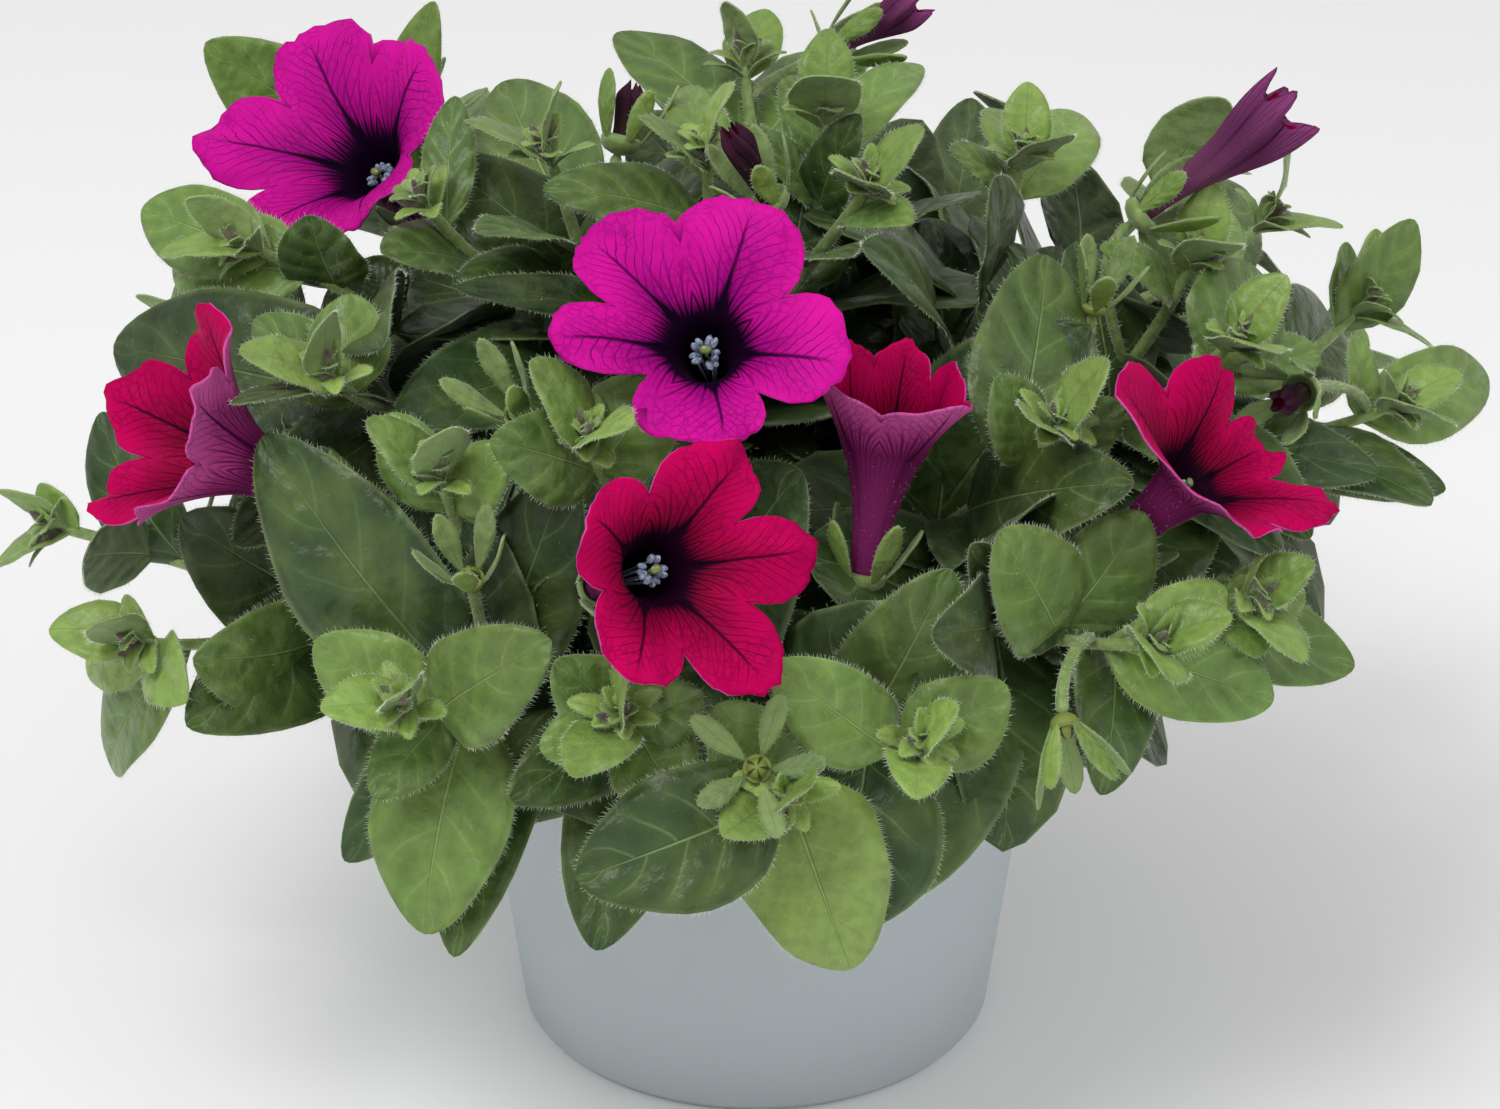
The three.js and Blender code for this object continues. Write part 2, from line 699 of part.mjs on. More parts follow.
blooms.forEach((bloom, i) => {
  const axis = heading(bloom.facing);
  const frame = frameFacing(place(bloom.throat).addScaledVector(axis, -bloom.tube), axis);
  const inner = bloom.tube - stamens.below;
  addNode(bloom.name, fill(bloom.name, solidOf(corollaGeometry(bloom).applyMatrix4(frame))), bloom.color);
  addNode(bloom.name.replace("bloom", "stamens"), stamenSolid(frame, inner), "anther");
  addNode(bloom.name.replace("bloom", "pistil"), pistilSolid(frame, inner), "pistil");
  addFlower(bloom.stem, frame, 10 * i);
});
buds.forEach((bud, i) => {
  const frame = frameFacing(place(bud.foot), heading(bud.facing));
  addNode(bud.name, fill(bud.name, solidOf(budGeometry(bud).applyMatrix4(frame))), "bud");
  addFlower(bud.stem, frame, 100 + 10 * i);
});
calyces.forEach(({ stem: name, foot, facing }, i) => {
  addFlower(name, frameFacing(place(foot), heading(facing)), 200 + 10 * i);
});

// A leaf is turned up or down, and shortened, until it is clear of the other nodes and, past its foot, of the
// leaves of its own stem. Where nothing frees it of its own stem's leaves it grows through them, and where
// nothing frees it of the other nodes it is left out.
const tilts = [0, 8, -8, 16, -16, 25, -25, 35];
const lengths = [1, 0.8];

function addLeaf(name, frame, leaf) {
  const options = lengths.flatMap((scale) =>
    tilts.map((tilt) => ({
      tilted: frame.clone().multiply(new THREE.Matrix4().makeRotationY(-rad(tilt))),
      size: { ...leaf, chord: leaf.chord * scale, width: leaf.width * scale },
    })),
  );
  const solid = ({ tilted, size }, margin) =>
    solidOf(bladeGeometry({ ...size, margin }).applyMatrix4(tilted));
  const clear = options.filter((option) => !crossesOthers(name, solid(option, GAP)));
  const free = clear.find(({ tilted, size }) => {
    const past = tilted.clone().multiply(new THREE.Matrix4().makeTranslation(blade.free, 0, 0));
    const outer = solid({ tilted: past, size: { ...size, chord: size.chord - blade.free } }, 0);
    return !grown.get(name).slice(1).some((other) => outer.intersect(other).volume() > 0);
  });
  const chosen = free ?? clear[0];
  if (chosen) grown.get(name).push(fill(name, solid(chosen, 0)));
}

function ownLeaf(name, path, [back, bearing, lift, width, proud, turned = blade.turned], seed) {
  const foot = path.getPointAt(1 - back / path.getLength());
  const tip = onMound([bearing, lift], proud);
  const outward = foot.clone().add(tip).multiplyScalar(0.5).sub(mound.middle).normalize();
  const along = tip.clone().sub(foot);
  const face = outward.addScaledVector(up, blade.raised).addScaledVector(front, turned);
  const frame = frameAlong(foot, along, face);
  addLeaf(name, frame, { chord: along.length(), width, arch: 34 + 16 * draw(seed) });
}

function ruleLeaf(name, path, turn, { back, length, spread }, seed) {
  const share = 1 - back / path.getLength();
  const foot = path.getPointAt(share);
  const axis = path.getTangentAt(share);
  const out = place([turn + 14 * draw(seed), 1, 0]).transformDirection(frameFacing(foot, axis));
  const lean = rad(spread);
  const along = axis.clone().multiplyScalar(Math.cos(lean)).addScaledVector(out, Math.sin(lean));
  const chord = length * (1 + 0.1 * draw(seed + 1));
  const frame = frameAlong(foot, along, axis.clone().addScaledVector(up, 0.7));
  addLeaf(name, frame, { chord, width: chord * broad, arch: 30 + 14 * draw(seed + 2) });
}

// Leaves stand in opposite pairs, each pair a quarter turn from the one before.
function ruleLeaves(name, path, turn, rows, seed) {
  rows.forEach((row, k) => {
    ruleLeaf(name, path, turn + 90 * Math.floor(k / 2) + 180 * (k % 2), row, seed + 3 * k);
  });
}

function eachShoot(visit) {
  stems.forEach(({ name, shoots }, s) =>
    shoots.forEach((shoot, i) => visit(name, paths.get(name)[i], shoot, 1000 * s + 100 * i)),
  );
}

eachShoot((name, path, { leaves = [] }, seed) => {
  leaves.forEach((leaf, k) => ownLeaf(name, path, leaf, seed + k));
});
eachShoot((name, path, { turn, young }, seed) => {
  ruleLeaves(name, path, turn, youngLeaves.slice(0, young), seed + 20);
});
eachShoot((name, path, { turn, low = 0 }, seed) => {
  ruleLeaves(name, path, turn, lowLeaves.slice(0, low), seed + 44);
});

for (const { name } of stems) addNode(`stem_${name}`, join(grown.get(name)), "green");

export default potted;
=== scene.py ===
# %% [markdown]
# # A petunia in flower, in a plain pot
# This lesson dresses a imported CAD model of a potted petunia. The CAD has plain solids: a pot, the soil,
# leafy stems, corollas, stamens, pistils and buds. Each is replaced here by a finer piece that keeps its
# place. Shapes are worked out in millimetres, +Z up, with the origin at the centre of the pot's underside,
# and each finished mesh is scaled to metres.

# %% Load the frame
import math

import bmesh
import bpy
import numpy as np
from mathutils import Matrix, Vector, kdtree


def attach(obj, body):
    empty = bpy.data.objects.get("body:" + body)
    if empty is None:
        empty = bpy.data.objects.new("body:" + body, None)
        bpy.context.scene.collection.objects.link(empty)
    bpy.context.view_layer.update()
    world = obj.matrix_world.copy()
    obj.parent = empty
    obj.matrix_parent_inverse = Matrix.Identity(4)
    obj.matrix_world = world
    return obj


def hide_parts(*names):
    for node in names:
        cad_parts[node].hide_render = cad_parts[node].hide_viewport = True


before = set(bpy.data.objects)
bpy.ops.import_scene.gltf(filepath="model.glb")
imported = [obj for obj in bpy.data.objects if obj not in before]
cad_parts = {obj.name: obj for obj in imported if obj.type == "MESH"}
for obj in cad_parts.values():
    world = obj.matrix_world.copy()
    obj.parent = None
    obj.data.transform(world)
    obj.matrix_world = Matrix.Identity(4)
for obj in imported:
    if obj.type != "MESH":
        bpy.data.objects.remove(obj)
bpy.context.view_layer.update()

# %% [markdown]
# ## The camera
# The photograph was taken from a little above, with a long lens. A long lens flattens the plant, so its
# length matters as much as where the camera stands. Leaves hide the pot's rim, so the tilt was estimated from
# the curve of its foot, and length and distance so that the pot comes out at the size assumed for it.

# %% Camera
scene = bpy.context.scene
photo_width = 1500
focal_pixels = 4252
lens = bpy.data.cameras.new("photo_camera")
lens.sensor_width = 36
lens.lens = lens.sensor_width * focal_pixels / photo_width
camera = bpy.data.objects.new("photo_camera", lens)
camera.location = (-0.00126, -0.760, 0.475)
camera.rotation_euler = (math.radians(90 - 26.2), 0, 0)
scene.collection.objects.link(camera)
scene.camera = camera
print("lens in mm:", round(lens.lens, 1))

# %% [markdown]
# ## Light and floor
# The plant stands on a pale floor in soft light. A large lamp over the front left gives the leaves their
# gentle shine, a weaker one fills from the right, and the pale world does the rest.

# %% Light and floor
scene.view_settings.view_transform = "Standard"
world = bpy.data.worlds.new("pale_room")
world.use_nodes = True
world.node_tree.nodes["Background"].inputs["Color"].default_value = (1, 1, 1, 1)
world.node_tree.nodes["Background"].inputs["Strength"].default_value = 0.62
scene.world = world


def soft_lamp(name, place, size, watts):
    lamp = bpy.data.lights.new(name, "AREA")
    lamp.shape = "DISK"
    lamp.size = size
    lamp.energy = watts
    holder = bpy.data.objects.new(name, lamp)
    holder.location = place
    holder.rotation_euler = (Vector((0, 0, 0.1)) - Vector(place)).to_track_quat("-Z", "Y").to_euler()
    scene.collection.objects.link(holder)


soft_lamp("key_lamp", (-0.5, -0.7, 1.4), 0.8, 12)
soft_lamp("fill_lamp", (0.9, -0.5, 0.9), 1.0, 2.5)

floor_mesh = bmesh.new()
bmesh.ops.create_grid(floor_mesh, x_segments=1, y_segments=1, size=4)
floor_data = bpy.data.meshes.new("floor")
floor_mesh.to_mesh(floor_data)
floor_mesh.free()
floor = bpy.data.objects.new("floor", floor_data)
scene.collection.objects.link(floor)
floor_paint = bpy.data.materials.new("pale_floor")
floor_paint.use_nodes = True
floor_paint.node_tree.nodes["Principled BSDF"].inputs["Base Color"].default_value = (0.97, 0.97, 0.97, 1)
floor_paint.node_tree.nodes["Principled BSDF"].inputs["Roughness"].default_value = 0.9
floor_data.materials.append(floor_paint)

# %% [markdown]
# ## The plan of the plant
# These values repeat the CAD's own plan, so that each finer piece grows where its solid stands. The foliage
# forms a mound, and a place on it is a bearing and a lift. A shoot has its tip, its last direction, and its
# leaves: distance back from the tip, bearing and lift of the leaf's own tip, width, and for some also how far
# it stands proud and how much its face turns to the front.

# %% Driving dimensions
MM = 0.001
SOIL_TOP = 86
MOUND = Vector((140, 130, 95))
MOUND_MIDDLE = Vector((0, 8, 100))
stem_plan = {"sunk": 9, "inner": 5, "outer": 31, "upright": 88, "splay": 26}
fork_plan = {"lowest": 0.42, "apart": 0.12}
stalk_plan = {"reach": 28, "lowest": 6, "samples": 40}
pot_plan = {"rim": 60, "foot": 48, "height": 95, "wall": 2.4, "floor": 3}
tube_plan = {"foot": 2.6, "middle": 3.4, "throat": 6}
petal_plan = {"droop": 1.5, "flare": 0.3, "crease": 0.6, "ragged": 0.008}
blade_plan = {"raised": 0.5, "turned": 0.6}
calyx_plan = {"radius": 3.8, "sepal": 13, "spread": 24, "base": -1.1}
BROAD = 0.67
TILTS = (0, 8, -8, 16, -16, 25, -25, 35)
LENGTHS = (1, 0.8)

# %% Shoots and leaves
stems = [
    ("front_left", [
        dict(at=(243, 14), aim=(243, 42), turn=20, young=2, low=2, leaves=[
            (12, 234, 18, 18), (12, 254, 23, 20), (16, 241, 3, 13), (24, 244, -14, 27), (26, 220, 36, 29),
            (36, 238, -4, 17), (44, 246, -17, 19), (30, 251, 38, 23)]),
        dict(at=(240, 37), aim=(240, 70), turn=0, young=2, leaves=[
            (9, 231, 41, 13), (9, 246, 41, 13), (26, 232, 30, 18)]),
    ]),
    ("front_middle", [
        dict(at=(260, 16), aim=(262, 42), turn=60, young=2, low=1, leaves=[
            (8, 254, 12, 12), (12, 265, 7, 18), (14, 254, 22, 16), (10, 266, 19, 13), (30, 252, 6, 17),
            (40, 258, -12, 24)]),
        dict(at=(253, 43), aim=(252, 55), turn=0, young=2, leaves=[(10, 238, 40, 21), (10, 260, 50, 19)]),
    ]),
    ("front_right", [
        dict(at=(272, 8), aim=(268, 25), turn=30, young=2, leaves=[
            (3, 257, -1, 25), (10, 277, -14, 22), (10, 267, 18, 17)]),
        dict(at=(282, 13), aim=(284, 42), turn=45, young=2, leaves=[
            (14, 271, 22, 17), (8, 289, 18, 17), (22, 276, -9, 32), (26, 286, 30, 22)]),
    ]),
    ("right_front", [
        dict(at=(302, 19), aim=(328, 20), turn=10, young=2, low=1, leaves=[
            (22, 291, 33, 21), (25, 309, 34, 26), (12, 312, 9, 18), (5, 310, 22, 13), (45, 284, 1, 26),
            (40, 290, 30, 14), (52, 271, 24, 21)]),
        dict(at=(313, 20), aim=(320, 20), turn=70, young=2, leaves=[
            (8, 318, 18, 12), (8, 310, 13, 12), (30, 297, 6, 18), (24, 322, 8, 18)]),
    ]),
    ("right_middle", [
        dict(at=(301, 42), aim=(301, 55), turn=15, young=2, low=2, leaves=[
            (12, 309, 42, 13), (22, 320, 59, 24), (14, 297, 48, 14), (48, 291, 45, 25), (40, 312, 30, 22)]),
    ]),
    ("right", [
        dict(at=(330, 43), aim=(330, 50), turn=35, young=2, low=1, leaves=[
            (10, 346, 46, 21), (14, 343, 36, 12), (30, 321, 23, 21), (8, 317, 40, 11), (36, 335, 24, 20)]),
        dict(at=(339, 51), aim=(340, 70), turn=20, young=2, leaves=[
            (10, 326, 57, 10), (8, 345, 57, 13), (8, 358, 49, 13)]),
    ]),
    ("far_right", [
        dict(at=(347, 26), aim=(352, 25), turn=10, young=2, low=2, leaves=[
            (8, 350, 34, 10), (8, 1, 19, 18, 13), (30, 349, 14, 15), (34, 338, 12, 22)]),
        dict(at=(9, 28), aim=(5, 48), turn=50, young=2, leaves=[
            (8, 13, 33, 12, 5), (8, 11, 32, 16, 18), (30, 20, 22, 24)]),
    ]),
    ("top_right", [
        dict(at=(345, 68), aim=(350, 80), turn=25, young=2, low=1, leaves=[
            (10, 19, 61, 16), (5, 9, 71, 10), (8, 332, 73, 10), (34, 325, 70, 22), (50, 288, 64, 21)]),
        dict(at=(6, 44), aim=(8, 55), turn=65, young=2, leaves=[
            (8, 19, 42, 13, 8), (10, 3, 37, 11), (24, 25, 38, 22)]),
    ]),
    ("top_front", [
        dict(at=(251, 78), aim=(250, 80), turn=30, young=2, low=2, leaves=[
            (6, 152, 84, 12), (16, 221, 68, 15), (40, 227, 55, 12), (34, 250, 60, 22)]),
        dict(at=(299, 72), aim=(310, 55), turn=0, young=2, leaves=[(10, 300, 66, 11), (24, 285, 63, 12)]),
    ]),
    ("top_back", [
        dict(at=(333, 84), aim=(0, 85), turn=0, young=2, low=1, leaves=[
            (12, 64, 84, 11), (12, 47, 70, 11), (20, 269, 84, 12), (24, 352, 79, 12)]),
        dict(at=(95, 79), aim=(95, 78), turn=45, young=2, leaves=[(18, 70, 66, 22), (18, 120, 66, 20)]),
    ]),
    ("top_left", [
        dict(at=(205, 72), aim=(200, 75), turn=75, young=2, low=2, leaves=[
            (22, 143, 63, 25), (24, 221, 61, 16), (30, 190, 64, 22), (50, 224, 42, 26, -16, 1),
            (36, 216, 58, 17, -10)]),
        dict(at=(203, 61), aim=(198, 60), turn=15, young=0, leaves=[
            (8, 178, 67, 11, 2, 1.5), (20, 210, 55, 18)]),
    ]),
    ("left_top", [
        dict(at=(185, 45), aim=(185, 22), turn=70, young=2, leaves=[
            (14, 176, 36, 22, 2, 1.2), (6, 171, 37, 18, 10, 1.4), (34, 225, 47, 20), (20, 188, 52, 18, 0, 2),
            (34, 182, 47, 24, -18, 1)]),
        dict(at=(221, 43), aim=(222, 60), turn=30, young=2, leaves=[
            (10, 213, 50, 18), (16, 204, 43, 14), (30, 183, 28, 32, 2, 1.2), (30, 224, 22, 10),
            (46, 211, 25, 26, -11, 1), (54, 218, 26, 24, -8, 1.4)]),
    ]),
    ("left", [
        dict(at=(214, 9), aim=(216, 28), turn=20, young=2, low=2, leaves=[
            (12, 202, -16, 17), (6, 205, 0, 13), (6, 222, 6, 13), (42, 222, 11, 25, 0, 2),
            (46, 222, 3, 24, 0, 1.6), (50, 214, 18, 27, -8, 1.6)]),
        dict(at=(186, 6), aim=(188, 18), turn=80, young=2, leaves=[
            (5, 184, 10, 9, 4), (22, 202, 12, 16), (30, 186, 20, 22)]),
    ]),
    ("back_right", [dict(at=(40, 34), turn=35, young=7, low=2), dict(at=(28, 8), turn=5, young=7)]),
    ("back_middle", [
        dict(at=(82, 42), turn=55, young=7, low=2), dict(at=(68, 8), turn=80, young=7),
        dict(at=(110, 14), turn=40, young=7)]),
    ("back_left", [
        dict(at=(131, 34), turn=25, young=7, low=2, leaves=[
            (10, 150, 41, 26, 33, 3), (6, 134, 51, 14, 19, 2), (8, 129, 45, 10, 9)]),
        dict(at=(150, 10), turn=60, young=7)]),
]
young_leaves = [(1, 15, 24), (4, 19, 42), (7, 24, 54), (12, 33, 64), (15, 36, 70), (26, 45, 80), (30, 47, 86)]
low_leaves = [(58, 52, 62), (72, 52, 74)]
print("stems:", len(stems), "shoots:", sum(len(shoots) for _, shoots in stems))

# %% [markdown]
# ## The flowers
# A bloom's throat has a bearing, a reach and a height, and it faces a bearing and a rise. Each lobe has its
# angle round the tube, its reach and its rise. notch says how deep the rim dips after each lobe, seam where
# between the two that dip lies, point how far each lobe's tip is drawn out, pleat how far a fold pushes out
# the first dip, and swell how much the limb arches. Buds and empty calyces have a foot instead of a throat.

# %% Blooms, buds and empty calyces
blooms = [
    dict(name="back_left", stem="left_top", look="magenta", throat=(161, 79, 172),
         facing=(231, 44), swell=0.8,
         lobes=[(66, 24, 14), (140, 31, 12), (192, 35, 12), (240, 24, 10), (315, 19, 14)], pleat=0.16,
         notch=(0.34, 0.30, 0.34, 0.30, 0.36), point=(0, 0.02, 0.04, 0.02, 0.02)),
    dict(name="centre", stem="top_front", look="magenta", throat=(263, 74, 177),
         facing=(265, 42), swell=0.9,
         lobes=[(72, 26, 9), (140, 28, 9), (183, 26, 10), (286, 19, 7), (350, 25, 9)], pleat=0.16,
         notch=(0.34, 0.36, 0.62, 0.44, 0.38), point=(0, 0, 0.02, 0.03, 0.03),
         seam=(0.5, 0.5, 0.3, 0.5, 0.5)),
    dict(name="front", stem="front_middle", look="crimson", throat=(261, 113, 153),
         facing=(300, 30), swell=0.7,
         lobes=[(42, 22, 9), (138, 17, 8), (234, 20, 8), (295, 25, 9), (352, 25, 10)],
         notch=(0.44, 0.40, 0.38, 0.40, 0.42), point=(0.12, 0.05, 0.08, 0.08, 0.03)),
    dict(name="left", stem="left_top", look="crimson", throat=(213, 110, 149),
         facing=(197, 31), swell=0.4,
         lobes=[(40, 17, 20), (120, 23, 16), (193, 23, 21), (251, 22, 19), (321, 18, 18)],
         notch=(0.40, 0.36, 0.40, 0.34, 0.36), point=(0.05, 0.05, 0.06, 0.05, 0.02)),
    dict(name="upright", stem="right_middle", look="crimson", throat=(287, 77, 158),
         facing=(58, 75), swell=0.1,
         lobes=[(70, 14, 12), (156, 17, 12), (224, 9, 17), (290, 10, 18), (350, 10, 17)],
         notch=(0.20, 0.14, 0.30, 0.12, 0.30), wide=1.25, ruffle=0.3),
    dict(name="right", stem="right_front", look="crimson", throat=(317, 105, 150),
         facing=(348, 47), swell=0.4,
         lobes=[(31, 17, 16), (111, 25, 9), (219, 17, 9), (288, 23, 14), (334, 19, 10)],
         notch=(0.36, 0.40, 0.36, 0.36, 0.36), point=(0.04, 0.05, 0.04, 0.04, 0.02)),
]
usual = dict(tube=24, seam=(0.5,) * 5, point=(0,) * 5, pleat=0, wide=1, ruffle=1)
blooms = [usual | bloom for bloom in blooms]
buds = [
    dict(name="top", stem="top_back", foot=(72, 52, 190), facing=(1, 30), length=20, radius=4.2, opening=0.75,
         bright=True),
    dict(name="right", stem="right", foot=(345, 74, 181), facing=(5, 37), length=36, radius=6.4, opening=0.95,
         bright=True),
    dict(name="centre", stem="top_front", foot=(275, 30, 188), facing=(200, 62), length=18, radius=3,
         opening=0.45, bright=False),
]
small_buds = [
    dict(name="faded", stem="far_right", foot=(340, 108, 153), facing=(240, 10), length=12, radius=2.6,
         opening=0.4, bright=False),
    dict(name="young", stem="top_left", foot=(180, 26, 188), facing=(60, 62), length=12, radius=2.6,
         opening=0.3, bright=False),
]
empty_calyces = [
    dict(stem="right", foot=(327, 74, 172), facing=(320, 75), spread=20),
    dict(stem="front_middle", foot=(240, 85, 165), facing=(215, 55), spread=24),
    dict(stem="front_left", foot=(241, 104, 141), facing=(255, 65), spread=22),
    dict(stem="front_right", foot=(270, 120, 119), facing=(268, 35), spread=52),
    dict(stem="right_front", foot=(296, 122, 122), facing=(290, -55), spread=30),
]
print("blooms:", len(blooms), "buds:", len(buds), "empty calyces:", len(empty_calyces))

# %% [markdown]
# ## Places, directions and paths
# A stem is a smooth curve from the soil to its tip. Blender's own curve objects could carry it, but leaves
# need exact points and directions along it, so a small class measures the curve once and answers both.

# %% Places and directions
def draw(seed):
    """A repeatable draw between -1 and 1 for a whole number."""
    x = math.sin(seed * 12.9898 + 4.1414) * 43758.5453
    return 2 * (x - math.floor(x)) - 1


def place(bearing, reach, height):
    turn = math.radians(bearing)
    return Vector((reach * math.cos(turn), reach * math.sin(turn), height))


def heading(bearing, rise):
    return place(bearing, math.cos(math.radians(rise)), math.sin(math.radians(rise)))


def on_mound(bearing, lift, proud=0):
    size = MOUND + Vector((proud, proud, proud))
    return heading(bearing, lift) * size + MOUND_MIDDLE


def matrix_of(x, y, z, origin):
    turn = Matrix((x, y, z)).transposed().to_4x4()
    turn.translation = origin
    return turn


def frame_along(origin, along, side):
    """Its x runs along a direction, and its z turns as far as it can to a side."""
    x = along.normalized()
    z = (side - x * side.dot(x)).normalized()
    return matrix_of(x, z.cross(x), z, origin)


def frame_facing(origin, axis):
    """Its z runs along a direction, and its x is level."""
    x = Vector((0, 0, 1)).cross(axis).normalized()
    return matrix_of(x, axis.cross(x), axis, origin)


# %% Paths
class Path:
    """A curve that leaves a start in one direction and reaches an end in another."""

    parts = 200

    def __init__(self, start, leave, end, arrive, leave_pull, arrive_pull):
        span = (end - start).length
        handles = (start, start + leave * span * leave_pull, end - arrive * span * arrive_pull, end)
        self.handles = np.array([tuple(p) for p in handles])
        self.steps = np.linspace(0, 1, self.parts + 1)
        hops = np.linalg.norm(np.diff(self.raw(self.steps), axis=0), axis=1)
        self.run = np.concatenate(([0], np.cumsum(hops)))
        self.length = float(self.run[-1])

    def raw(self, t):
        t = np.asarray(t, float).reshape(-1, 1)
        weights = np.hstack([(1 - t) ** 3, 3 * t * (1 - t) ** 2, 3 * t * t * (1 - t), t ** 3])
        return weights @ self.handles

    def even(self, share):
        return np.interp(np.asarray(share, float) * self.length, self.run, self.steps)

    def points(self, share):
        return self.raw(self.even(share))

    def tangents(self, share):
        t = self.even(share)
        hop = self.raw(np.minimum(t + 1e-4, 1)) - self.raw(np.maximum(t - 1e-4, 0))
        return hop / np.linalg.norm(hop, axis=1, keepdims=True)

    def point(self, share):
        return Vector(self.points([share])[0])

    def tangent(self, share):
        return Vector(self.tangents([share])[0])


def aim_of(shoot):
    bearing, lift = shoot["at"]
    return heading(*shoot.get("aim", (bearing, 8 + 0.85 * lift)))


def main_path(shoot):
    tip = on_mound(*shoot["at"])
    bearing = math.degrees(math.atan2(tip.y, tip.x))
    lean = math.hypot(tip.x, tip.y) / MOUND.x
    leave = heading(bearing, stem_plan["upright"] - stem_plan["splay"] * lean)
    reach = stem_plan["inner"] + (stem_plan["outer"] - stem_plan["inner"]) * lean
    foot = place(bearing, reach, SOIL_TOP - stem_plan["sunk"])
    return Path(foot, leave, tip, aim_of(shoot), 0.42, 0.3)


def side_path(main, shoot, i):
    share = fork_plan["lowest"] + fork_plan["apart"] * i
    return Path(main.point(share), main.tangent(share), on_mound(*shoot["at"]), aim_of(shoot), 0.35, 0.3)


paths = {}
for name, shoots in stems:
    main = main_path(shoots[0])
    paths[name] = [main] + [side_path(main, shoot, i) for i, shoot in enumerate(shoots[1:])]
print("metres of stem:", round(sum(p.length for ps in paths.values() for p in ps) * MM, 2))

# %% [markdown]
# ## Where each leaf really lies
# The CAD tries a leaf at several tilts and two lengths until it lies clear of its neighbours, and only the
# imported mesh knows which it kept. So each choice is worked out again, and the one whose corners are found
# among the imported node's vertices is the one that the CAD kept. A leaf that fewer than two corners confirm
# counts as left out.

# %% Find the leaves
def bend_radius(chord, arch):
    return chord / (2 * math.sin(math.radians(arch) / 2))


def half_width(u):
    return np.sin(np.pi * np.clip(u, 1e-6, 1 - 1e-6) ** 0.85) ** 0.75


def cad_corners(chord, width, arch):
    """The corners of the CAD's plain blade, apart from those at its foot."""
    rows = (0.45, 1) if chord < 16 else (0.26, 0.66, 1) if chord < 38 else (0.18, 0.46, 0.78, 1)
    bend, radius = math.radians(arch), bend_radius(chord, arch)
    corners = []
    for u in rows:
        half = 0 if u == 1 else width / 2 * float(half_width(u))
        for side in (-0.4, 0.4):
            out, turn = radius + side, bend * (u - 0.5)
            x = radius * math.sin(bend / 2) + out * math.sin(turn)
            z = out * math.cos(turn) - radius * math.cos(bend / 2)
            corners += [Vector((x, -half, z)), Vector((x, half, z))]
    return corners


def tree_of(node):
    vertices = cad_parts[node].data.vertices
    tree = kdtree.KDTree(len(vertices))
    for i, vertex in enumerate(vertices):
        tree.insert(vertex.co / MM, i)
    tree.balance()
    return tree


def kept_leaf(tree, home, chord, width, arch):
    """The frame, chord and width that the CAD kept for a leaf, or None."""
    best, most = None, 1
    for scale in LENGTHS:
        corners = cad_corners(chord * scale, width * scale, arch)
        for tilt in TILTS:
            tilted = home @ Matrix.Rotation(-math.radians(tilt), 4, "Y")
            found = sum(tree.find(tilted @ corner)[2] < 0.06 for corner in corners)
            if found > most:
                best, most = (tilted, chord * scale, width * scale), found
    return best


def own_leaf(path, back, bearing, lift, width, proud=0, turned=blade_plan["turned"], seed=0):
    foot, tip = path.point(1 - back / path.length), on_mound(bearing, lift, proud)
    outward = ((foot + tip) / 2 - MOUND_MIDDLE).normalized()
    home = frame_along(foot, tip - foot, outward + Vector((0, -turned, blade_plan["raised"])))
    return home, (tip - foot).length, width, 34 + 16 * draw(seed)


def rule_leaf(path, turn, back, length, spread, seed, shorten=1):
    share = max(0.03, 1 - back / path.length)
    foot, axis = path.point(share), path.tangent(share)
    out = frame_facing(foot, axis).to_3x3() @ place(turn + 14 * draw(seed), 1, 0)
    lean = math.radians(spread)
    along = axis * math.cos(lean) + out.normalized() * math.sin(lean)
    chord = length * (1 + 0.1 * draw(seed + 1)) * shorten
    home = frame_along(foot, along, axis + Vector((0, 0, 0.7)))
    return home, chord, chord * BROAD, 30 + 14 * draw(seed + 2)


leaves = {name: [] for name, _ in stems}
missing = 0
for s, (name, shoots) in enumerate(stems):
    tree = tree_of(f"stem_{name}")
    for i, shoot in enumerate(shoots):
        path, seed, turn = paths[name][i], 1000 * s + 100 * i, shoot["turn"]
        wanted = [
            (row[0], k, own_leaf(path, *row, seed=seed + k)) for k, row in enumerate(shoot.get("leaves", []))]
        for rows, start in ((young_leaves[:shoot["young"]], 20), (low_leaves[:shoot.get("low", 0)], 44)):
            for k, (back, length, spread) in enumerate(rows):
                round_ = turn + 90 * (k // 2) + 180 * (k % 2)
                leaf = rule_leaf(path, round_, back, length, spread, seed + start + 3 * k)
                wanted.append((back, start + k, leaf))
        for back, k, (home, chord, width, arch) in wanted:
            kept = kept_leaf(tree, home, chord, width, arch)
            if kept is None:
                missing += 1
                continue
            leaves[name].append(dict(
                frame=kept[0], chord=kept[1], width=kept[2], arch=arch, back=back, key=(i, k), seed=seed + k))
print("leaves found:", sum(map(len, leaves.values())), "not found in the CAD:", missing)

# %% [markdown]
# ## Wrapping a flat grid onto a living shape
# Leaves, petals, sepals and stems are all thin skins that bend two ways. Each starts as a flat grid made with
# create_grid, in which x and y are shares of its length and width. Solidify gives it thickness, and small
# cones stand on it as hairs. A surface function then says where each share lies in space, and the whole
# grid is laid onto it with its thickness and hairs following the surface. Sculpting each leaf by hand
# would give the same result, but not for hundreds of them.

# %% Templates
rng = np.random.default_rng(11)
TOP, BACK, HAIR = 0, 1, 2


def evenly(x):
    return x


def rounded(x):
    """Crowd a grid's columns towards its two ends, so that a round tip stays round."""
    return 0.5 - 0.5 * math.cos(math.pi * x)


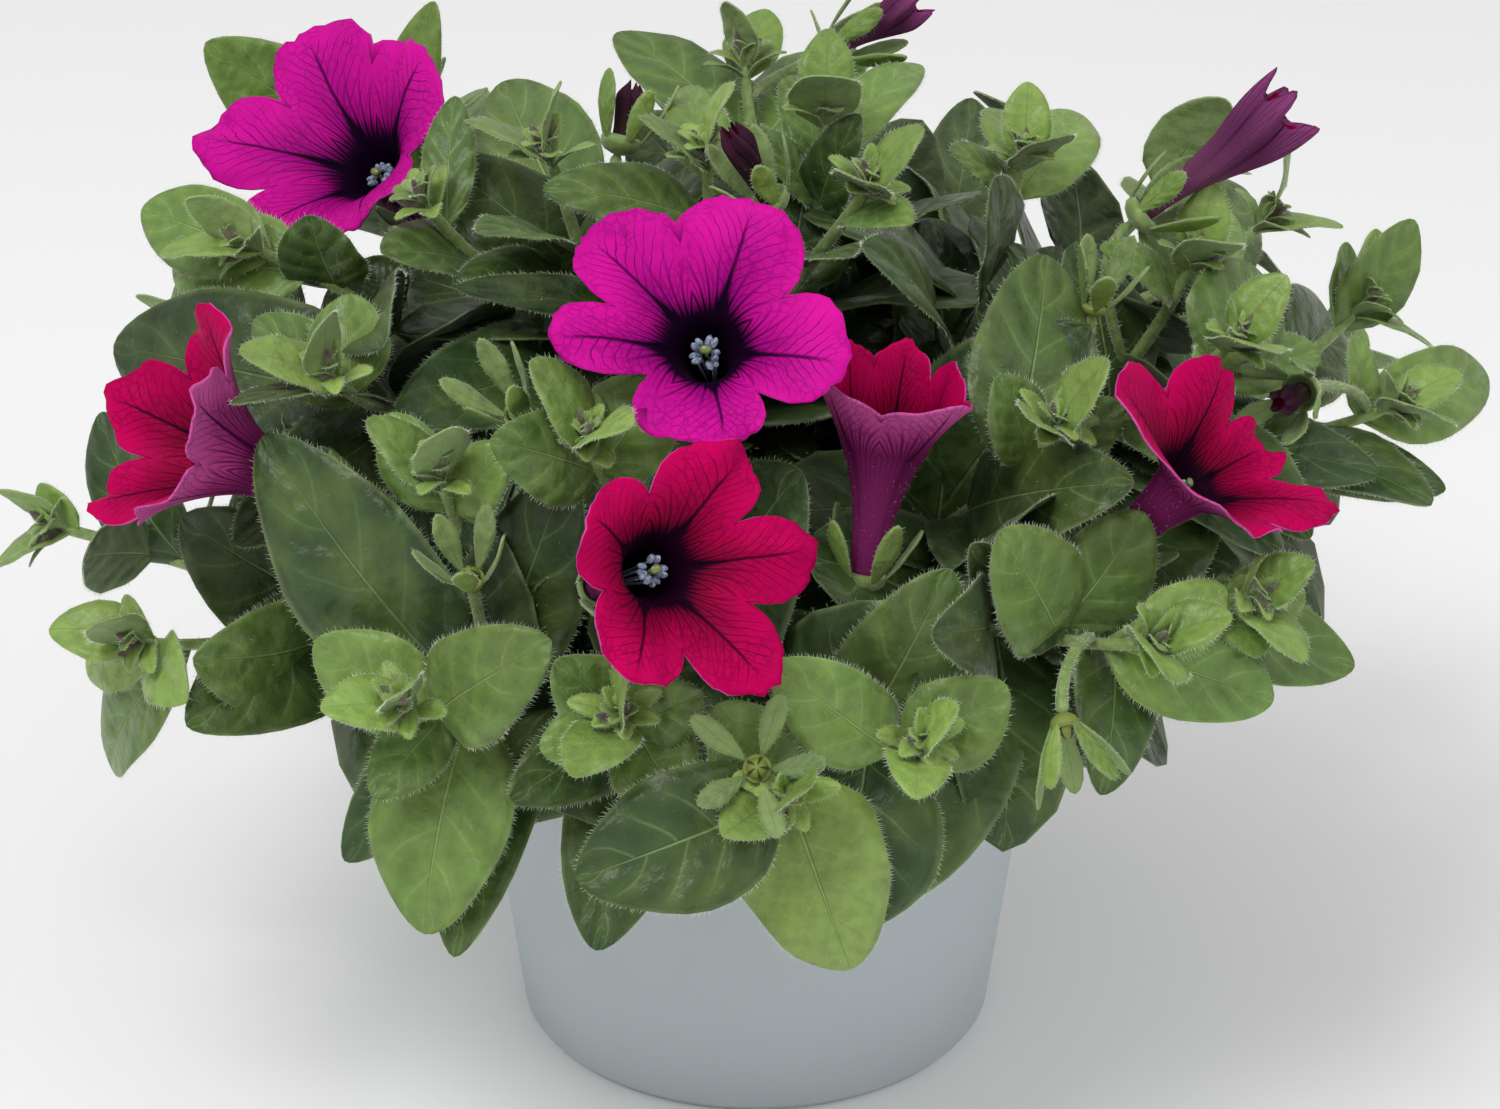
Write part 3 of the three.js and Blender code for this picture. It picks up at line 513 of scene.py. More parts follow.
class Template:
    """A flat grid with its hairs, kept as a mesh that can be laid onto any surface."""

    def __init__(self, name, columns, rows, thickness, ends=(), wraps=False, spacing=evenly):
        self.name = name
        self.bm = bmesh.new()
        self.uv = self.bm.loops.layers.uv.new("UVMap")
        self.stands = self.bm.verts.layers.float_vector.new("stands")
        for layer in ("age", "shade"):
            self.bm.verts.layers.float.new(layer)
        grid = bmesh.ops.create_grid(self.bm, x_segments=columns, y_segments=rows, size=1, calc_uvs=True)
        for vertex in grid["verts"]:
            vertex.co = (spacing((vertex.co.x + 1) / 2), vertex.co.y, 0)
        for face in self.bm.faces:
            for loop in face.loops:
                loop[self.uv].uv.x = spacing(loop[self.uv].uv.x)
        for end in ends:
            row = [v for v in self.bm.verts if abs(v.co.x - end) < 1e-5]
            bmesh.ops.pointmerge(self.bm, verts=row, merge_co=(end, 0, 0))
        if thickness:
            bmesh.ops.solidify(self.bm, geom=self.bm.faces[:], thickness=thickness)
            self.bm.normal_update()
            middle = thickness / 2
            for vertex in self.bm.verts:
                vertex.co.z += middle
            for face in self.bm.faces:
                face.material_index = TOP if face.normal.z > 0.5 else BACK
        if wraps:
            self.close_seam(ends)
        for face in self.bm.faces:
            face.smooth = True

    def close_seam(self, ends):
        """Join the grid's two long sides, so that it can go all the way round."""
        def on_side(vertex):
            return abs(vertex.co.y) > 1 - 1e-4 or any(abs(vertex.co.x - end) < 1e-5 for end in ends)

        rim = [f for f in self.bm.faces if all(on_side(v) for v in f.verts)]
        bmesh.ops.delete(self.bm, geom=rim, context="FACES_ONLY")
        far = {(round(v.co.x, 4), round(v.co.z, 4)): v for v in self.bm.verts if v.co.y > 1 - 1e-4}
        near = [v for v in self.bm.verts if v.co.y < 1e-4 - 1]
        pairs = {v: far[round(v.co.x, 4), round(v.co.z, 4)] for v in near}
        bmesh.ops.weld_verts(self.bm, targetmap=pairs)

    def hair(self, u, v, lean, length, radius=0.045):
        """One hair that stands at a place of the grid and leans in a direction of the surface."""
        turn = Vector(lean).to_track_quat("Z", "Y").to_matrix().to_4x4()
        cone = bmesh.ops.create_cone(
            self.bm, segments=3, radius1=radius, radius2=0, depth=length, cap_ends=True,
            matrix=turn @ Matrix.Translation((0, 0, length / 2 - 0.05)))
        for vertex in cone["verts"]:
            vertex[self.stands] = vertex.co
            vertex.co = (u, v, 0)
            for face in vertex.link_faces:
                face.material_index = HAIR

    def sow(self, count, along, lean, top, lengths, radius=0.045, scale=1):
        """Hairs at random places between two shares of the length, each leaning a random way."""
        for _ in range(count):
            leaning = (rng.uniform(*lean), rng.uniform(-0.4, 0.4), top)
            spot = rng.uniform(*along), rng.uniform(-1, 1)
            self.hair(*spot, leaning, scale * rng.uniform(*lengths), radius)

    def done(self):
        """Keep the finished grid as a mesh, with each vertex's share of length and width."""
        self.mesh = bpy.data.meshes.new(self.name)
        self.bm.to_mesh(self.mesh)
        self.bm.free()
        count = len(self.mesh.vertices)
        places, stands = np.empty(3 * count, np.float32), np.empty(3 * count, np.float32)
        self.mesh.vertices.foreach_get("co", places)
        self.mesh.attributes["stands"].data.foreach_get("vector", stands)
        self.u, self.v, lift = places.reshape(-1, 3).T.astype(float)
        self.stand = stands.reshape(-1, 3).astype(float)
        self.stand[:, 2] += lift
        print(self.name, "faces:", len(self.mesh.polygons))
        return self


def unit(vectors):
    return vectors / np.maximum(np.linalg.norm(vectors, axis=1, keepdims=True), 1e-9)


def lay(bm, template, surface, age=0.5, shade=0.5):
    """Lay a template onto a surface, with its thickness and hairs along the surface's own directions."""
    u, v, step = np.clip(template.u, 0.012, 0.988), np.clip(template.v, -0.99, 0.99), 0.01
    along = unit(surface(u + step, v) - surface(u - step, v))
    across = surface(u, v + step) - surface(u, v - step)
    normal = unit(np.cross(along, across))
    across = np.cross(normal, along)
    x, y, z = (template.stand[:, [i]] for i in range(3))
    points = surface(template.u, template.v) + along * x + across * y + normal * z
    mesh = template.mesh
    mesh.vertices.foreach_set("co", points.astype(np.float32).ravel())
    for layer, value in (("age", age), ("shade", shade)):
        values = np.broadcast_to(np.asarray(value, np.float32), len(points))
        mesh.attributes[layer].data.foreach_set("value", np.ascontiguousarray(values))
    bm.from_mesh(mesh)


def moved(matrix, points):
    turn = np.array(matrix)
    return points @ turn[:3, :3].T + turn[:3, 3]


# %% Finish a piece
def finish_piece(bm, name, materials, replaced=()):
    """Scale a bmesh to metres, make it an object that rides on the root body, and hide the CAD nodes it
    replaces.
    """
    bmesh.ops.transform(bm, matrix=Matrix.Scale(MM, 4), verts=bm.verts)
    mesh = bpy.data.meshes.new(name)
    bm.to_mesh(mesh)
    bm.free()
    if "stands" in mesh.attributes:
        mesh.attributes.remove(mesh.attributes["stands"])
    for material in materials:
        mesh.materials.append(material)
    piece = bpy.data.objects.new(name, mesh)
    scene.collection.objects.link(piece)
    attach(piece, "root")
    if replaced:
        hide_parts(*replaced)
    mesh.calc_loop_triangles()
    totals.append(len(mesh.loop_triangles))
    print(name, "triangles:", totals[-1])


totals = []

# %% [markdown]
# ## Shader pieces
# Materials are built in code. A small class lets a value that varies over the surface be added and multiplied
# like any number, and short helpers add the other nodes, so that each material reads as a few lines. An
# effect that several materials share is a node group, built once.

# %% Shader helpers
class Field:
    """A value that varies over the surface: the output of a node."""

    def __init__(self, tree, socket):
        self.tree, self.socket = tree, socket

    def math(self, operation, *others):
        node = self.tree.nodes.new("ShaderNodeMath")
        node.operation = operation
        for socket, value in zip(node.inputs, (self, *others)):
            wire(socket, value)
        return Field(self.tree, node.outputs[0])

    def __add__(self, other):
        return self.math("ADD", other)

    def __sub__(self, other):
        return self.math("SUBTRACT", other)

    def __mul__(self, other):
        return self.math("MULTIPLY", other)

    def __truediv__(self, other):
        return self.math("DIVIDE", other)

    def __pow__(self, other):
        return self.math("POWER", other)

    def __abs__(self):
        return self.math("ABSOLUTE")

    def smooth(self, low, high):
        """0 below low and 1 above high, with a soft change between, or the reverse if low is above high."""
        node = self.tree.nodes.new("ShaderNodeMapRange")
        node.interpolation_type = "SMOOTHSTEP"
        ends = (0, 1) if low < high else (1, 0)
        for socket, value in zip(node.inputs, (self, min(low, high), max(low, high), *ends)):
            wire(socket, value)
        return Field(self.tree, node.outputs[0])


def wire(socket, value):
    """Link a field to a socket, or set the socket to a number or a colour."""
    if isinstance(value, Field):
        value.tree.links.new(value.socket, socket)
    elif isinstance(value, tuple) and socket.type == "RGBA":
        socket.default_value = (*value, 1)
    else:
        socket.default_value = value


def mix(share, a, b, blend="MIX"):
    """Colour a where the share is 0, and b where it is 1."""
    tree = next(value.tree for value in (share, a, b) if isinstance(value, Field))
    node = tree.nodes.new("ShaderNodeMix")
    node.data_type, node.blend_type = "RGBA", blend
    for socket, value in ((node.inputs[0], share), (node.inputs[6], a), (node.inputs[7], b)):
        wire(socket, value)
    return Field(tree, node.outputs[2])


def texture(tree, kind, scale):
    """A texture that fills the piece's own space."""
    node = tree.nodes.new(kind)
    node.inputs["Scale"].default_value = scale
    tree.links.new(tree.nodes.new("ShaderNodeTexCoord").outputs["Object"], node.inputs["Vector"])
    return node


def noise(tree, scale, detail):
    node = texture(tree, "ShaderNodeTexNoise", scale)
    node.inputs["Detail"].default_value = detail
    return Field(tree, node.outputs["Fac"])


def attribute(tree, name):
    node = tree.nodes.new("ShaderNodeAttribute")
    node.attribute_name = name
    return Field(tree, node.outputs["Fac"])


def uv_of(tree):
    """The piece's own UV, as two fields from 0 to 1."""
    node = tree.nodes.new("ShaderNodeUVMap")
    node.uv_map = "UVMap"
    split = tree.nodes.new("ShaderNodeSeparateXYZ")
    tree.links.new(node.outputs["UV"], split.inputs[0])
    return Field(tree, split.outputs["X"]), Field(tree, split.outputs["Y"])


def bump(height, strength, distance):
    """A normal that follows a height field. The distance is in metres."""
    node = height.tree.nodes.new("ShaderNodeBump")
    node.inputs["Strength"].default_value = strength
    node.inputs["Distance"].default_value = distance
    wire(node.inputs["Height"], height)
    return Field(height.tree, node.outputs["Normal"])


def new_group(name, **inputs):
    """A node group, and its inputs as fields, each with its usual value."""
    group = bpy.data.node_groups.new(name, "ShaderNodeTree")
    for label, value in inputs.items():
        socket = group.interface.new_socket(name=label, in_out="INPUT", socket_type="NodeSocketFloat")
        socket.default_value = value
    entry = group.nodes.new("NodeGroupInput")
    return group, {label: Field(group, entry.outputs[label]) for label in inputs}


def give_out(group, **outputs):
    """End a group with its named outputs."""
    for label in outputs:
        group.interface.new_socket(name=label, in_out="OUTPUT", socket_type="NodeSocketFloat")
    leave = group.nodes.new("NodeGroupOutput")
    for label, value in outputs.items():
        wire(leave.inputs[label], value)
    print(group.name, "nodes:", len(group.nodes))


def use_group(tree, group, **values):
    node = tree.nodes.new("ShaderNodeGroup")
    node.node_tree = group
    for label, value in values.items():
        wire(node.inputs[label], value)
    return {socket.name: Field(tree, socket) for socket in node.outputs}


def new_material(name, roughness, **constants):
    """A material with a Principled shader. Constants go straight onto its own sockets."""
    material = bpy.data.materials.new(name)
    material.use_nodes = True
    sockets = material.node_tree.nodes["Principled BSDF"].inputs
    wire(sockets["Roughness"], roughness)
    for label, value in constants.items():
        wire(sockets[label.replace("_", " ")], value)
    print("material:", name)
    return material, material.node_tree, sockets


def mottled(name, roughness, scale, detail, colors, edges=None, relief=None, **constants):
    """A material of two colours in a noise pattern. edges sharpens the pattern, and relief raises it."""
    material, tree, shader = new_material(name, roughness, **constants)
    pattern = noise(tree, scale, detail)
    wire(shader["Base Color"], mix(pattern.smooth(*edges) if edges else pattern, *colors))
    if relief:
        wire(shader["Normal"], bump(pattern, *relief))
    return material


# %% [markdown]
# ## What a leaf is coloured by
# The midrib runs along the middle of a blade, and the side veins leave it alternately and arch towards the
# tip. Between them the blade swells a little. A leaf darkens as it ages, so each vertex carries its leaf's
# age, and a shade that sets one leaf apart from the next.

# %% Leaf veins group
leaf_veins, given = new_group("leaf_veins", Pairs=6)
u, v = uv_of(leaf_veins)
signed = v * 2 - 1
off = abs(signed)
run = u - off ** 1.15 * 0.26 + signed.math("SIGN") * 0.03
wander = (noise(leaf_veins, 90, 1) - 0.5) * 0.35
cell = run * given["Pairs"] + wander + 8
near = abs(cell.math("FRACT") - 0.5)
give_out(
    leaf_veins,
    Midrib=(off / (u * -0.035 + 0.05)).smooth(1.0, 0.3),
    Veins=near.smooth(0.07, 0.0) * off.smooth(0.95, 0.35),
    Quilt=near.smooth(0.0, 0.45) * off.smooth(0.0, 0.3),
    Edge=off.smooth(0.90, 1.0))

# %% Leaf materials
YOUNG, MIDDLE, OLD = (0.235, 0.350, 0.080), (0.118, 0.205, 0.045), (0.030, 0.062, 0.018)
YELLOW_CLOUD, DARK_MOTTLE = (0.20, 0.27, 0.05), (0.02, 0.045, 0.015)
PALE_VEIN, GREY_BACK = (0.35, 0.44, 0.19), (0.17, 0.22, 0.13)


def leaf_material(name, paler, lines, roughness, **constants):
    """Green by age, paler at veins and edge, with painted shade in its bump hollows. lines is how strongly
    the veins show.
    """
    material, tree, shader = new_material(name, roughness, **constants)
    veins = use_group(tree, leaf_veins, Pairs=5)
    age, shade = attribute(tree, "age"), attribute(tree, "shade")
    cloud, mottle, bulge = noise(tree, 75, 2), noise(tree, 420, 4), noise(tree, 130, 2)
    green = mix(age.smooth(0.0, 0.5), YOUNG, MIDDLE)
    green = mix(age.smooth(0.4, 1.0), green, OLD)
    green = mix(cloud.smooth(0.35, 0.7) * 0.22, green, YELLOW_CLOUD)
    green = mix(mottle.smooth(0.35, 0.7) * 0.2, green, DARK_MOTTLE)
    pale = mix(0.5, green, PALE_VEIN)
    clear = age.smooth(1.0, 0.86) * 0.65 + 0.35
    green = mix(veins["Veins"] * clear * (0.38 * lines), green, pale)
    green = mix(veins["Midrib"] * clear * (0.9 * lines), green, pale)
    green = mix(veins["Edge"] * 0.5, green, pale)
    green = mix(paler, green, GREY_BACK)
    grown = age.smooth(0.08, 0.6)
    # Each leaf's own shade, darker between the veins, plus painted shade: the bulge noise that raises the
    # bump lightens the colour there and darkens its hollows.
    tone_and_relief_shade = shade * 0.8 + bulge * 0.45 + 0.49 - veins["Quilt"] * grown * 0.25
    wire(shader["Base Color"], mix(1.0, green, tone_and_relief_shade, "MULTIPLY"))
    height = noise(tree, 1600, 2) * 0.18 + mottle * 0.4 + bulge * 3.2
    height = height + veins["Quilt"] * grown * 0.32 - veins["Midrib"] * 0.6
    wire(shader["Normal"], bump(height, 0.75, 0.0009))
    return material


leaf_top = leaf_material(
    "leaf_top", paler=0.0, lines=1.0, roughness=0.38, Specular_IOR_Level=0.36, Sheen_Weight=0.08,
    Sheen_Roughness=0.3, Sheen_Tint=(0.8, 0.85, 0.6), Subsurface_Weight=0.1,
    Subsurface_Radius=(0.6, 1.0, 0.2), Subsurface_Scale=0.002)
leaf_back = leaf_material(
    "leaf_back", paler=0.4, lines=1.3, roughness=0.7, Specular_IOR_Level=0.3, Sheen_Weight=0.25,
    Sheen_Roughness=0.4, Sheen_Tint=(0.8, 0.9, 0.75))

# %% Hair, stem, bud and pod materials
leaf_hair = mottled(
    "leaf_hair", 0.5, 400, 1, [(0.64, 0.72, 0.48), (0.84, 0.87, 0.70)],
    Subsurface_Weight=0.3, Subsurface_Scale=0.001)
stem_skin = mottled(
    "stem_skin", 0.6, 500, 3, [(0.15, 0.24, 0.055), (0.25, 0.35, 0.10)], edges=(0.35, 0.7),
    relief=(0.4, 0.0005), Sheen_Weight=0.4, Sheen_Roughness=0.5)
bud_down = mottled(
    "bud_down", 0.7, 700, 3, [(0.10, 0.13, 0.045), (0.085, 0.035, 0.045)], edges=(0.35, 0.65),
    Sheen_Weight=0.5, Sheen_Roughness=0.5)
seed_pod, tree, shader = new_material("seed_pod", 0.55, Specular_IOR_Level=0.4)
ribs = noise(tree, 900, 2) * 0.5 + attribute(tree, "shade") - 0.25
wire(shader["Base Color"], mix(ribs.smooth(0.2, 0.7), (0.19, 0.24, 0.045), (0.035, 0.040, 0.015)))
green_skins = [leaf_top, leaf_back, leaf_hair, stem_skin, bud_down, seed_pod]
STEM, DOWN, POD = 3, 4, 5

# %% [markdown]
# ## Leaves
# A petunia leaf is an oval blade, folded a little along its pale midrib, arched over its length, with a soft
# edge that waves. Its margin is set with short hairs that catch the light. The large leaves get a finer grid,
# and those that fill the plant by the hundred a coarse one.

# %% Leaf templates
def leaf_template(name, columns, rows, thickness, edge_hairs, face_hairs, length, radius):
    template = Template(name, columns, rows, thickness, ends=(0, 1), spacing=rounded)
    for i in range(edge_hairs):
        u = 0.04 + 0.955 * (i + rng.uniform(0, 1)) / edge_hairs
        for side in (-1, 1):
            lean = (rng.uniform(-0.2, 0.8), side, rng.uniform(-0.6, 0.6))
            template.hair(u, side, lean, length * rng.uniform(0.5, 1.15), radius)
    for _ in range(face_hairs):
        top = rng.choice((-1, 1))
        lean = (rng.uniform(-0.4, 0.8), rng.uniform(-0.5, 0.5), top)
        spot = rng.uniform(0.08, 0.95), rng.uniform(-0.9, 0.9)
        template.hair(*spot, lean, length * rng.uniform(0.4, 0.8), radius)
    return template.done()


large_leaf = leaf_template(
    "large_leaf", columns=16, rows=8, thickness=0.45, edge_hairs=95, face_hairs=40, length=1.15, radius=0.05)
middle_leaf = leaf_template(
    "middle_leaf", columns=11, rows=6, thickness=0.4, edge_hairs=46, face_hairs=24, length=1.05, radius=0.047)
filler_leaf = leaf_template(
    "filler_leaf", columns=7, rows=4, thickness=0.4, edge_hairs=14, face_hairs=0, length=1.0, radius=0.045)
tiny_leaf = leaf_template(
    "tiny_leaf", columns=7, rows=4, thickness=0.35, edge_hairs=26, face_hairs=20, length=0.8, radius=0.038)


# %% Lay the leaves
def leaf_surface(leaf):
    """Where the shares of a blade lie: arched over its length, folded at its midrib, its edge waved."""
    chord, width, arch, seed = leaf["chord"], leaf["width"], leaf["arch"], leaf["seed"]
    bend, radius = math.radians(arch), bend_radius(chord, arch)
    fold = leaf.get("fold", 0.22 + 0.1 * draw(seed + 7))
    wave = leaf.get("wave", 0.05)
    turn_up = 0.1 * draw(seed + 9)
    beat, phase = 2.2 + 0.8 * draw(seed + 11), 3 * draw(seed + 13)
    stalked, widest = leaf.get("stalked", 0.5), leaf.get("widest", 0.85)

    def surface(u, v):
        shape = np.sin(np.pi * np.clip(u, 1e-6, 1 - 1e-6) ** widest) ** 0.6
        shape = shape * (1 - stalked * np.exp(-(u / 0.11) ** 2))
        half = width / 2 * shape * (1 + 0.03 * np.sin(9 * u + phase + v))
        turn = bend * (u - 0.5)
        y = half * v
        rise = fold * np.abs(y) - 0.5 * fold * np.abs(y) * np.abs(v) ** 2
        rise += wave * half * v * v * np.sin(beat * 2 * np.pi * u + phase + 1.7 * np.sign(v))
        rise += turn_up * half * v
        out = radius + rise * np.sin(np.pi * np.clip(u, 0, 1)) ** 0.3
        x = radius * math.sin(bend / 2) + out * np.sin(turn)
        z = out * np.cos(turn) - radius * math.cos(bend / 2)
        return moved(leaf["frame"], np.column_stack([x, y, z]))

    return surface


# %% [markdown]
# ## Stems and stalks
# A petunia's stems are thick, soft and densely haired. A curve object with a round bevel would be the short
# way, but it carries no hairs, so a grid is wrapped round the path instead, and its seam is closed.

# %% Stem templates
def tube_template(name, columns, sides, hairs, length):
    template = Template(name, columns, sides, 0, ends=(0, 1), wraps=True)
    for face in template.bm.faces:
        face.material_index = STEM
    template.sow(hairs, along=(0.02, 0.99), lean=(-0.3, 0.5), top=1, lengths=(0.6, 1.1), scale=length)
    return template.done()


thick_stem = tube_template("thick_stem", columns=24, sides=8, hairs=380, length=1.1)
thin_stalk = tube_template("thin_stalk", columns=12, sides=6, hairs=170, length=1.0)


def tube_surface(path, start_radius, end_radius):
    """A round skin along a path. Its end draws in to a point."""
    side = Vector((0, 0, 1)).cross(path.tangent(0.5))
    side = np.array(side.normalized() if side.length > 0.1 else Vector((1, 0, 0)))

    def surface(u, v):
        share = np.clip(u, 0, 1)
        centre, along = path.points(share), path.tangents(share)
        x = unit(side - along * (along @ side).reshape(-1, 1))
        y = np.cross(along, x)
        radius = start_radius + (end_radius - start_radius) * share
        radius = radius * np.sqrt(np.clip(1 - ((share - 0.98) / 0.02).clip(0) ** 2, 0, 1)) * (share > 0)
        turn = -np.pi * v
        ring = x * np.cos(turn).reshape(-1, 1) + y * np.sin(turn).reshape(-1, 1)
        return centre + ring * radius.reshape(-1, 1)

    return surface


# %% [markdown]
# ## Calyces
# Under each flower a green cup runs out into five sepals, narrow and blunt like small paddles. The cup is
# turned with spin, and each sepal is a small leaf that starts on the cup's rim.

# %% Sepals and cups
sepal_blade = leaf_template(
    "sepal_blade", columns=7, rows=4, thickness=0.5, edge_hairs=20, face_hairs=16, length=0.8, radius=0.036)


def turned(profile, steps, matrix, material=0):
    """A new bmesh of a profile of (radius, height) points turned about z."""
    bm = bmesh.new()
    points = [bm.verts.new((radius, 0, height)) for radius, height in profile]
    edges = [bm.edges.new(pair) for pair in zip(points, points[1:])]
    bmesh.ops.spin(bm, geom=points + edges, cent=(0, 0, 0), axis=(0, 0, 1), angle=2 * math.pi,
                   steps=steps, use_merge=True)
    bmesh.ops.remove_doubles(bm, verts=bm.verts, dist=1e-4)
    bmesh.ops.recalc_face_normals(bm, faces=bm.faces)
    bmesh.ops.transform(bm, matrix=matrix, verts=bm.verts)
    for face in bm.faces:
        face.smooth, face.material_index = True, material
    return bm


def stripes(point):
    """1 on five dark ribs round a seed pod, and 0 between them and below it."""
    angle = math.degrees(math.atan2(point.y, point.x)) % 72
    return float(point.z > 0.3 and min(angle, 72 - angle) < 9)


def append(bm, part, age=0.5, shade=0.5):
    """Add a finished part to a bmesh, with its age and shade. The shade may be worked out at each point."""
    for label, value in (("age", age), ("shade", shade)):
        layer = part.verts.layers.float.get(label) or part.verts.layers.float.new(label)
        for vertex in part.verts:
            vertex[layer] = value(vertex.co) if callable(value) else value
    mesh = bpy.data.meshes.new("part")
    part.to_mesh(mesh)
    part.free()
    bm.from_mesh(mesh)
    bpy.data.meshes.remove(mesh)


tube_cup = [
    (0, -2.2), (1.2, -2.0), (2.8, -1.4), (3.8, -0.3), (3.9, 1.0), (3.5, 1.6), (3.1, 0.9), (2.7, -0.2),
    (0, -0.3)]
seed_cup = [
    (0, -2.2), (1.2, -2.0), (2.2, -1.3), (2.6, -0.4), (2.5, 0.3), (2.1, 0.4), (1.8, 0.2), (1.9, 0.8),
    (1.75, 1.5), (1.3, 2.2), (0.6, 2.7), (0, 2.8)]


def add_calyx(bm, home, seed, spread):
    """A cup with five sepals. Where the bloom has dropped, its own spread is given, and a seed dome shows."""
    if spread:
        append(bm, turned(seed_cup, 20, home, POD), shade=lambda point: stripes(home.inverted() @ point))
    else:
        append(bm, turned(tube_cup, 15, home, STEM), age=0.3)
    for k in range(5):
        angle = math.radians(72 * k)
        out = Vector((math.cos(angle), math.sin(angle), 0))
        lean = math.radians((spread or calyx_plan["spread"]) + 8 * draw(seed + 2 * k + 40))
        length = calyx_plan["sepal"] * (1 + 0.12 * draw(seed + 2 * k)) + 1
        inset = 1.7 if spread else 0.9
        foot = out * (calyx_plan["radius"] - inset) + Vector((0, 0, calyx_plan["base"] + 0.5))
        along = out * math.sin(lean) + Vector((0, 0, math.cos(lean)))
        lay(bm, sepal_blade, leaf_surface(dict(
            frame=home @ frame_along(foot, along, out), chord=length, width=4.4,
            arch=18 + 14 * draw(seed + k), seed=seed + k, fold=-0.25, stalked=0.2, widest=1.5)),
            age=0.2 + 0.12 * draw(seed + k + 5))


def stalk_path(name, home):
    axis = home.to_3x3() @ Vector((0, 0, 1))
    foot = home @ Vector((0, 0, -0.7))
    behind = foot - axis * stalk_plan["reach"]
    shares = np.linspace(0, 1, stalk_plan["samples"] + 1)[stalk_plan["lowest"]:]
    points = np.vstack([path.points(shares) for path in paths[name]])
    start = Vector(points[np.argmin(np.linalg.norm(points - np.array(behind), axis=1))])
    return Path(start, Vector((0, 0, 1)), foot, axis, 0.2, 0.45)


def add_flower_base(bm, name, home, seed, spread):
    lay(bm, thin_stalk, tube_surface(stalk_path(name, home), 1.0, 1.2), age=0.3)
    add_calyx(bm, home, seed, spread)


# %% [markdown]
# ## Where each flower stands
# A bloom's frame stands at the foot of its tube, a bud's and an empty calyx's at the foot itself. All are
# listed with their stem, a seed, and the spread of the sepals where the bloom has dropped.

# %% Where the flowers stand
flowers = []
for i, bloom in enumerate(blooms):
    axis = heading(*bloom["facing"])
    bloom["frame"] = frame_facing(place(*bloom["throat"]) - axis * bloom["tube"], axis)
    flowers.append((bloom["stem"], bloom["frame"], 10 * i, 0))
for i, bud in enumerate(buds + small_buds):
    bud["frame"] = frame_facing(place(*bud["foot"]), heading(*bud["facing"]))
    flowers.append((bud["stem"], bud["frame"], 100 + 10 * i, 0))
for i, calyx in enumerate(empty_calyces):
    calyx["frame"] = frame_facing(place(*calyx["foot"]), heading(*calyx["facing"]))
    flowers.append((calyx["stem"], calyx["frame"], 200 + 10 * i, calyx["spread"]))
print("flowers and calyces:", len(flowers))

# %% [markdown]
# ## Leaves that fill the plant
# Between the leaves that the photograph shows, older ones fill the mound and hide the soil. They follow the
# same rule as the rest, in opposite pairs down each shoot, and keep away from the front of each bloom. The
# tip of each shoot gets a rosette of narrow young leaves, with three downy buds in its middle.

# %% Fillers and tip clusters
FILLER, TIP = -1, -2


def in_front_of_bloom(point):
    for bloom in blooms:
        local = bloom["frame"].inverted() @ point
        if local.z > -2 and math.hypot(local.x, local.y) < 6 + 0.9 * max(0, local.z):
            return True
    return False


def inside_mound(point, share):
    q = point - MOUND_MIDDLE
    return (q.x / MOUND.x) ** 2 + (q.y / MOUND.y) ** 2 + (q.z / MOUND.z) ** 2 < share ** 2


def filler_leaves(s, i, path, turn):
    found = []
    for k, back in enumerate(np.arange(34, path.length - 4, 7)):
        seed = 5000 + 1000 * s + 100 * i + 4 * k
        round_ = turn + 45 + 90 * (k // 2) + 180 * (k % 2) + 25 * draw(seed + 2)
        length = min(48, 30 + 0.35 * back)
        home, chord, width, arch = rule_leaf(path, round_, back, length, 68 + 12 * draw(seed + 3), seed, 0.9)
        tip = home @ Vector((chord, 0, 0))
        middle = home @ Vector((chord / 2, 0, chord * 0.12))
        low = min(tip.z, middle.z) < SOIL_TOP - 4
        clear = not any(in_front_of_bloom(point) for point in (tip, middle))
        if inside_mound(tip, 0.93) and not low and clear:
            found.append(dict(
                frame=home, chord=chord, width=width, arch=arch, back=back, key=(i, FILLER), seed=seed))
    return found


tip_rows = [
    (0, 4, 12), (0.2, 5, 28), (0.5, 5, 40), (0.8, 6, 34), (1.2, 7, 50), (1.5, 7, 30), (1.9, 8, 44),
    (2.3, 8, 62), (2.8, 9, 40), (3.3, 10, 56), (3.9, 10, 68), (4.5, 11, 60)]


def tip_leaves(path, turn, seed):
    """The youngest leaves of a shoot, narrow and curled back round its tip."""
    found = []
    for k, (back, length, spread) in enumerate(tip_rows):
        round_ = turn + 45 + 137 * k
        home, chord, _, _ = rule_leaf(path, round_, back, length, spread, seed + 3 * k)
        found.append(dict(
            frame=home, chord=chord, width=chord * 0.3 + 1.2, arch=60 + 25 * draw(seed + k), back=0,
            key=(0, TIP), seed=seed + k, fold=0.35, widest=1.25, stalked=0.3))
    return found


tiny_bud = Template("tiny_bud", 8, 8, 0, ends=(0, 1), wraps=True, spacing=rounded)
for face in tiny_bud.bm.faces:
    face.material_index = DOWN
tiny_bud.sow(34, along=(0.15, 0.98), lean=(-0.2, 0.6), top=1, lengths=(0.4, 0.8), radius=0.034)
tiny_bud.done()


def bud_surface(home, length, radius):
    """An egg along a frame's x."""
    def surface(u, v):
        wide = radius * np.sin(np.pi * np.clip(u, 0, 1) ** 0.9) ** 0.7
        turn = -np.pi * v
        return moved(home, np.column_stack([length * u, wide * np.cos(turn), wide * np.sin(turn)]))

    return surface


def tip_buds(bm, path, turn, seed):
    """Three small downy buds in the middle of a shoot's youngest leaves."""
    for k in range(3):
        home, length, _, _ = rule_leaf(path, turn + 120 * k, 0.3 + 0.6 * k, 6.4, 22 + 12 * k, seed + 5 * k)
        lay(bm, tiny_bud, bud_surface(home, length, 1.15 + 0.2 * draw(seed + k)))


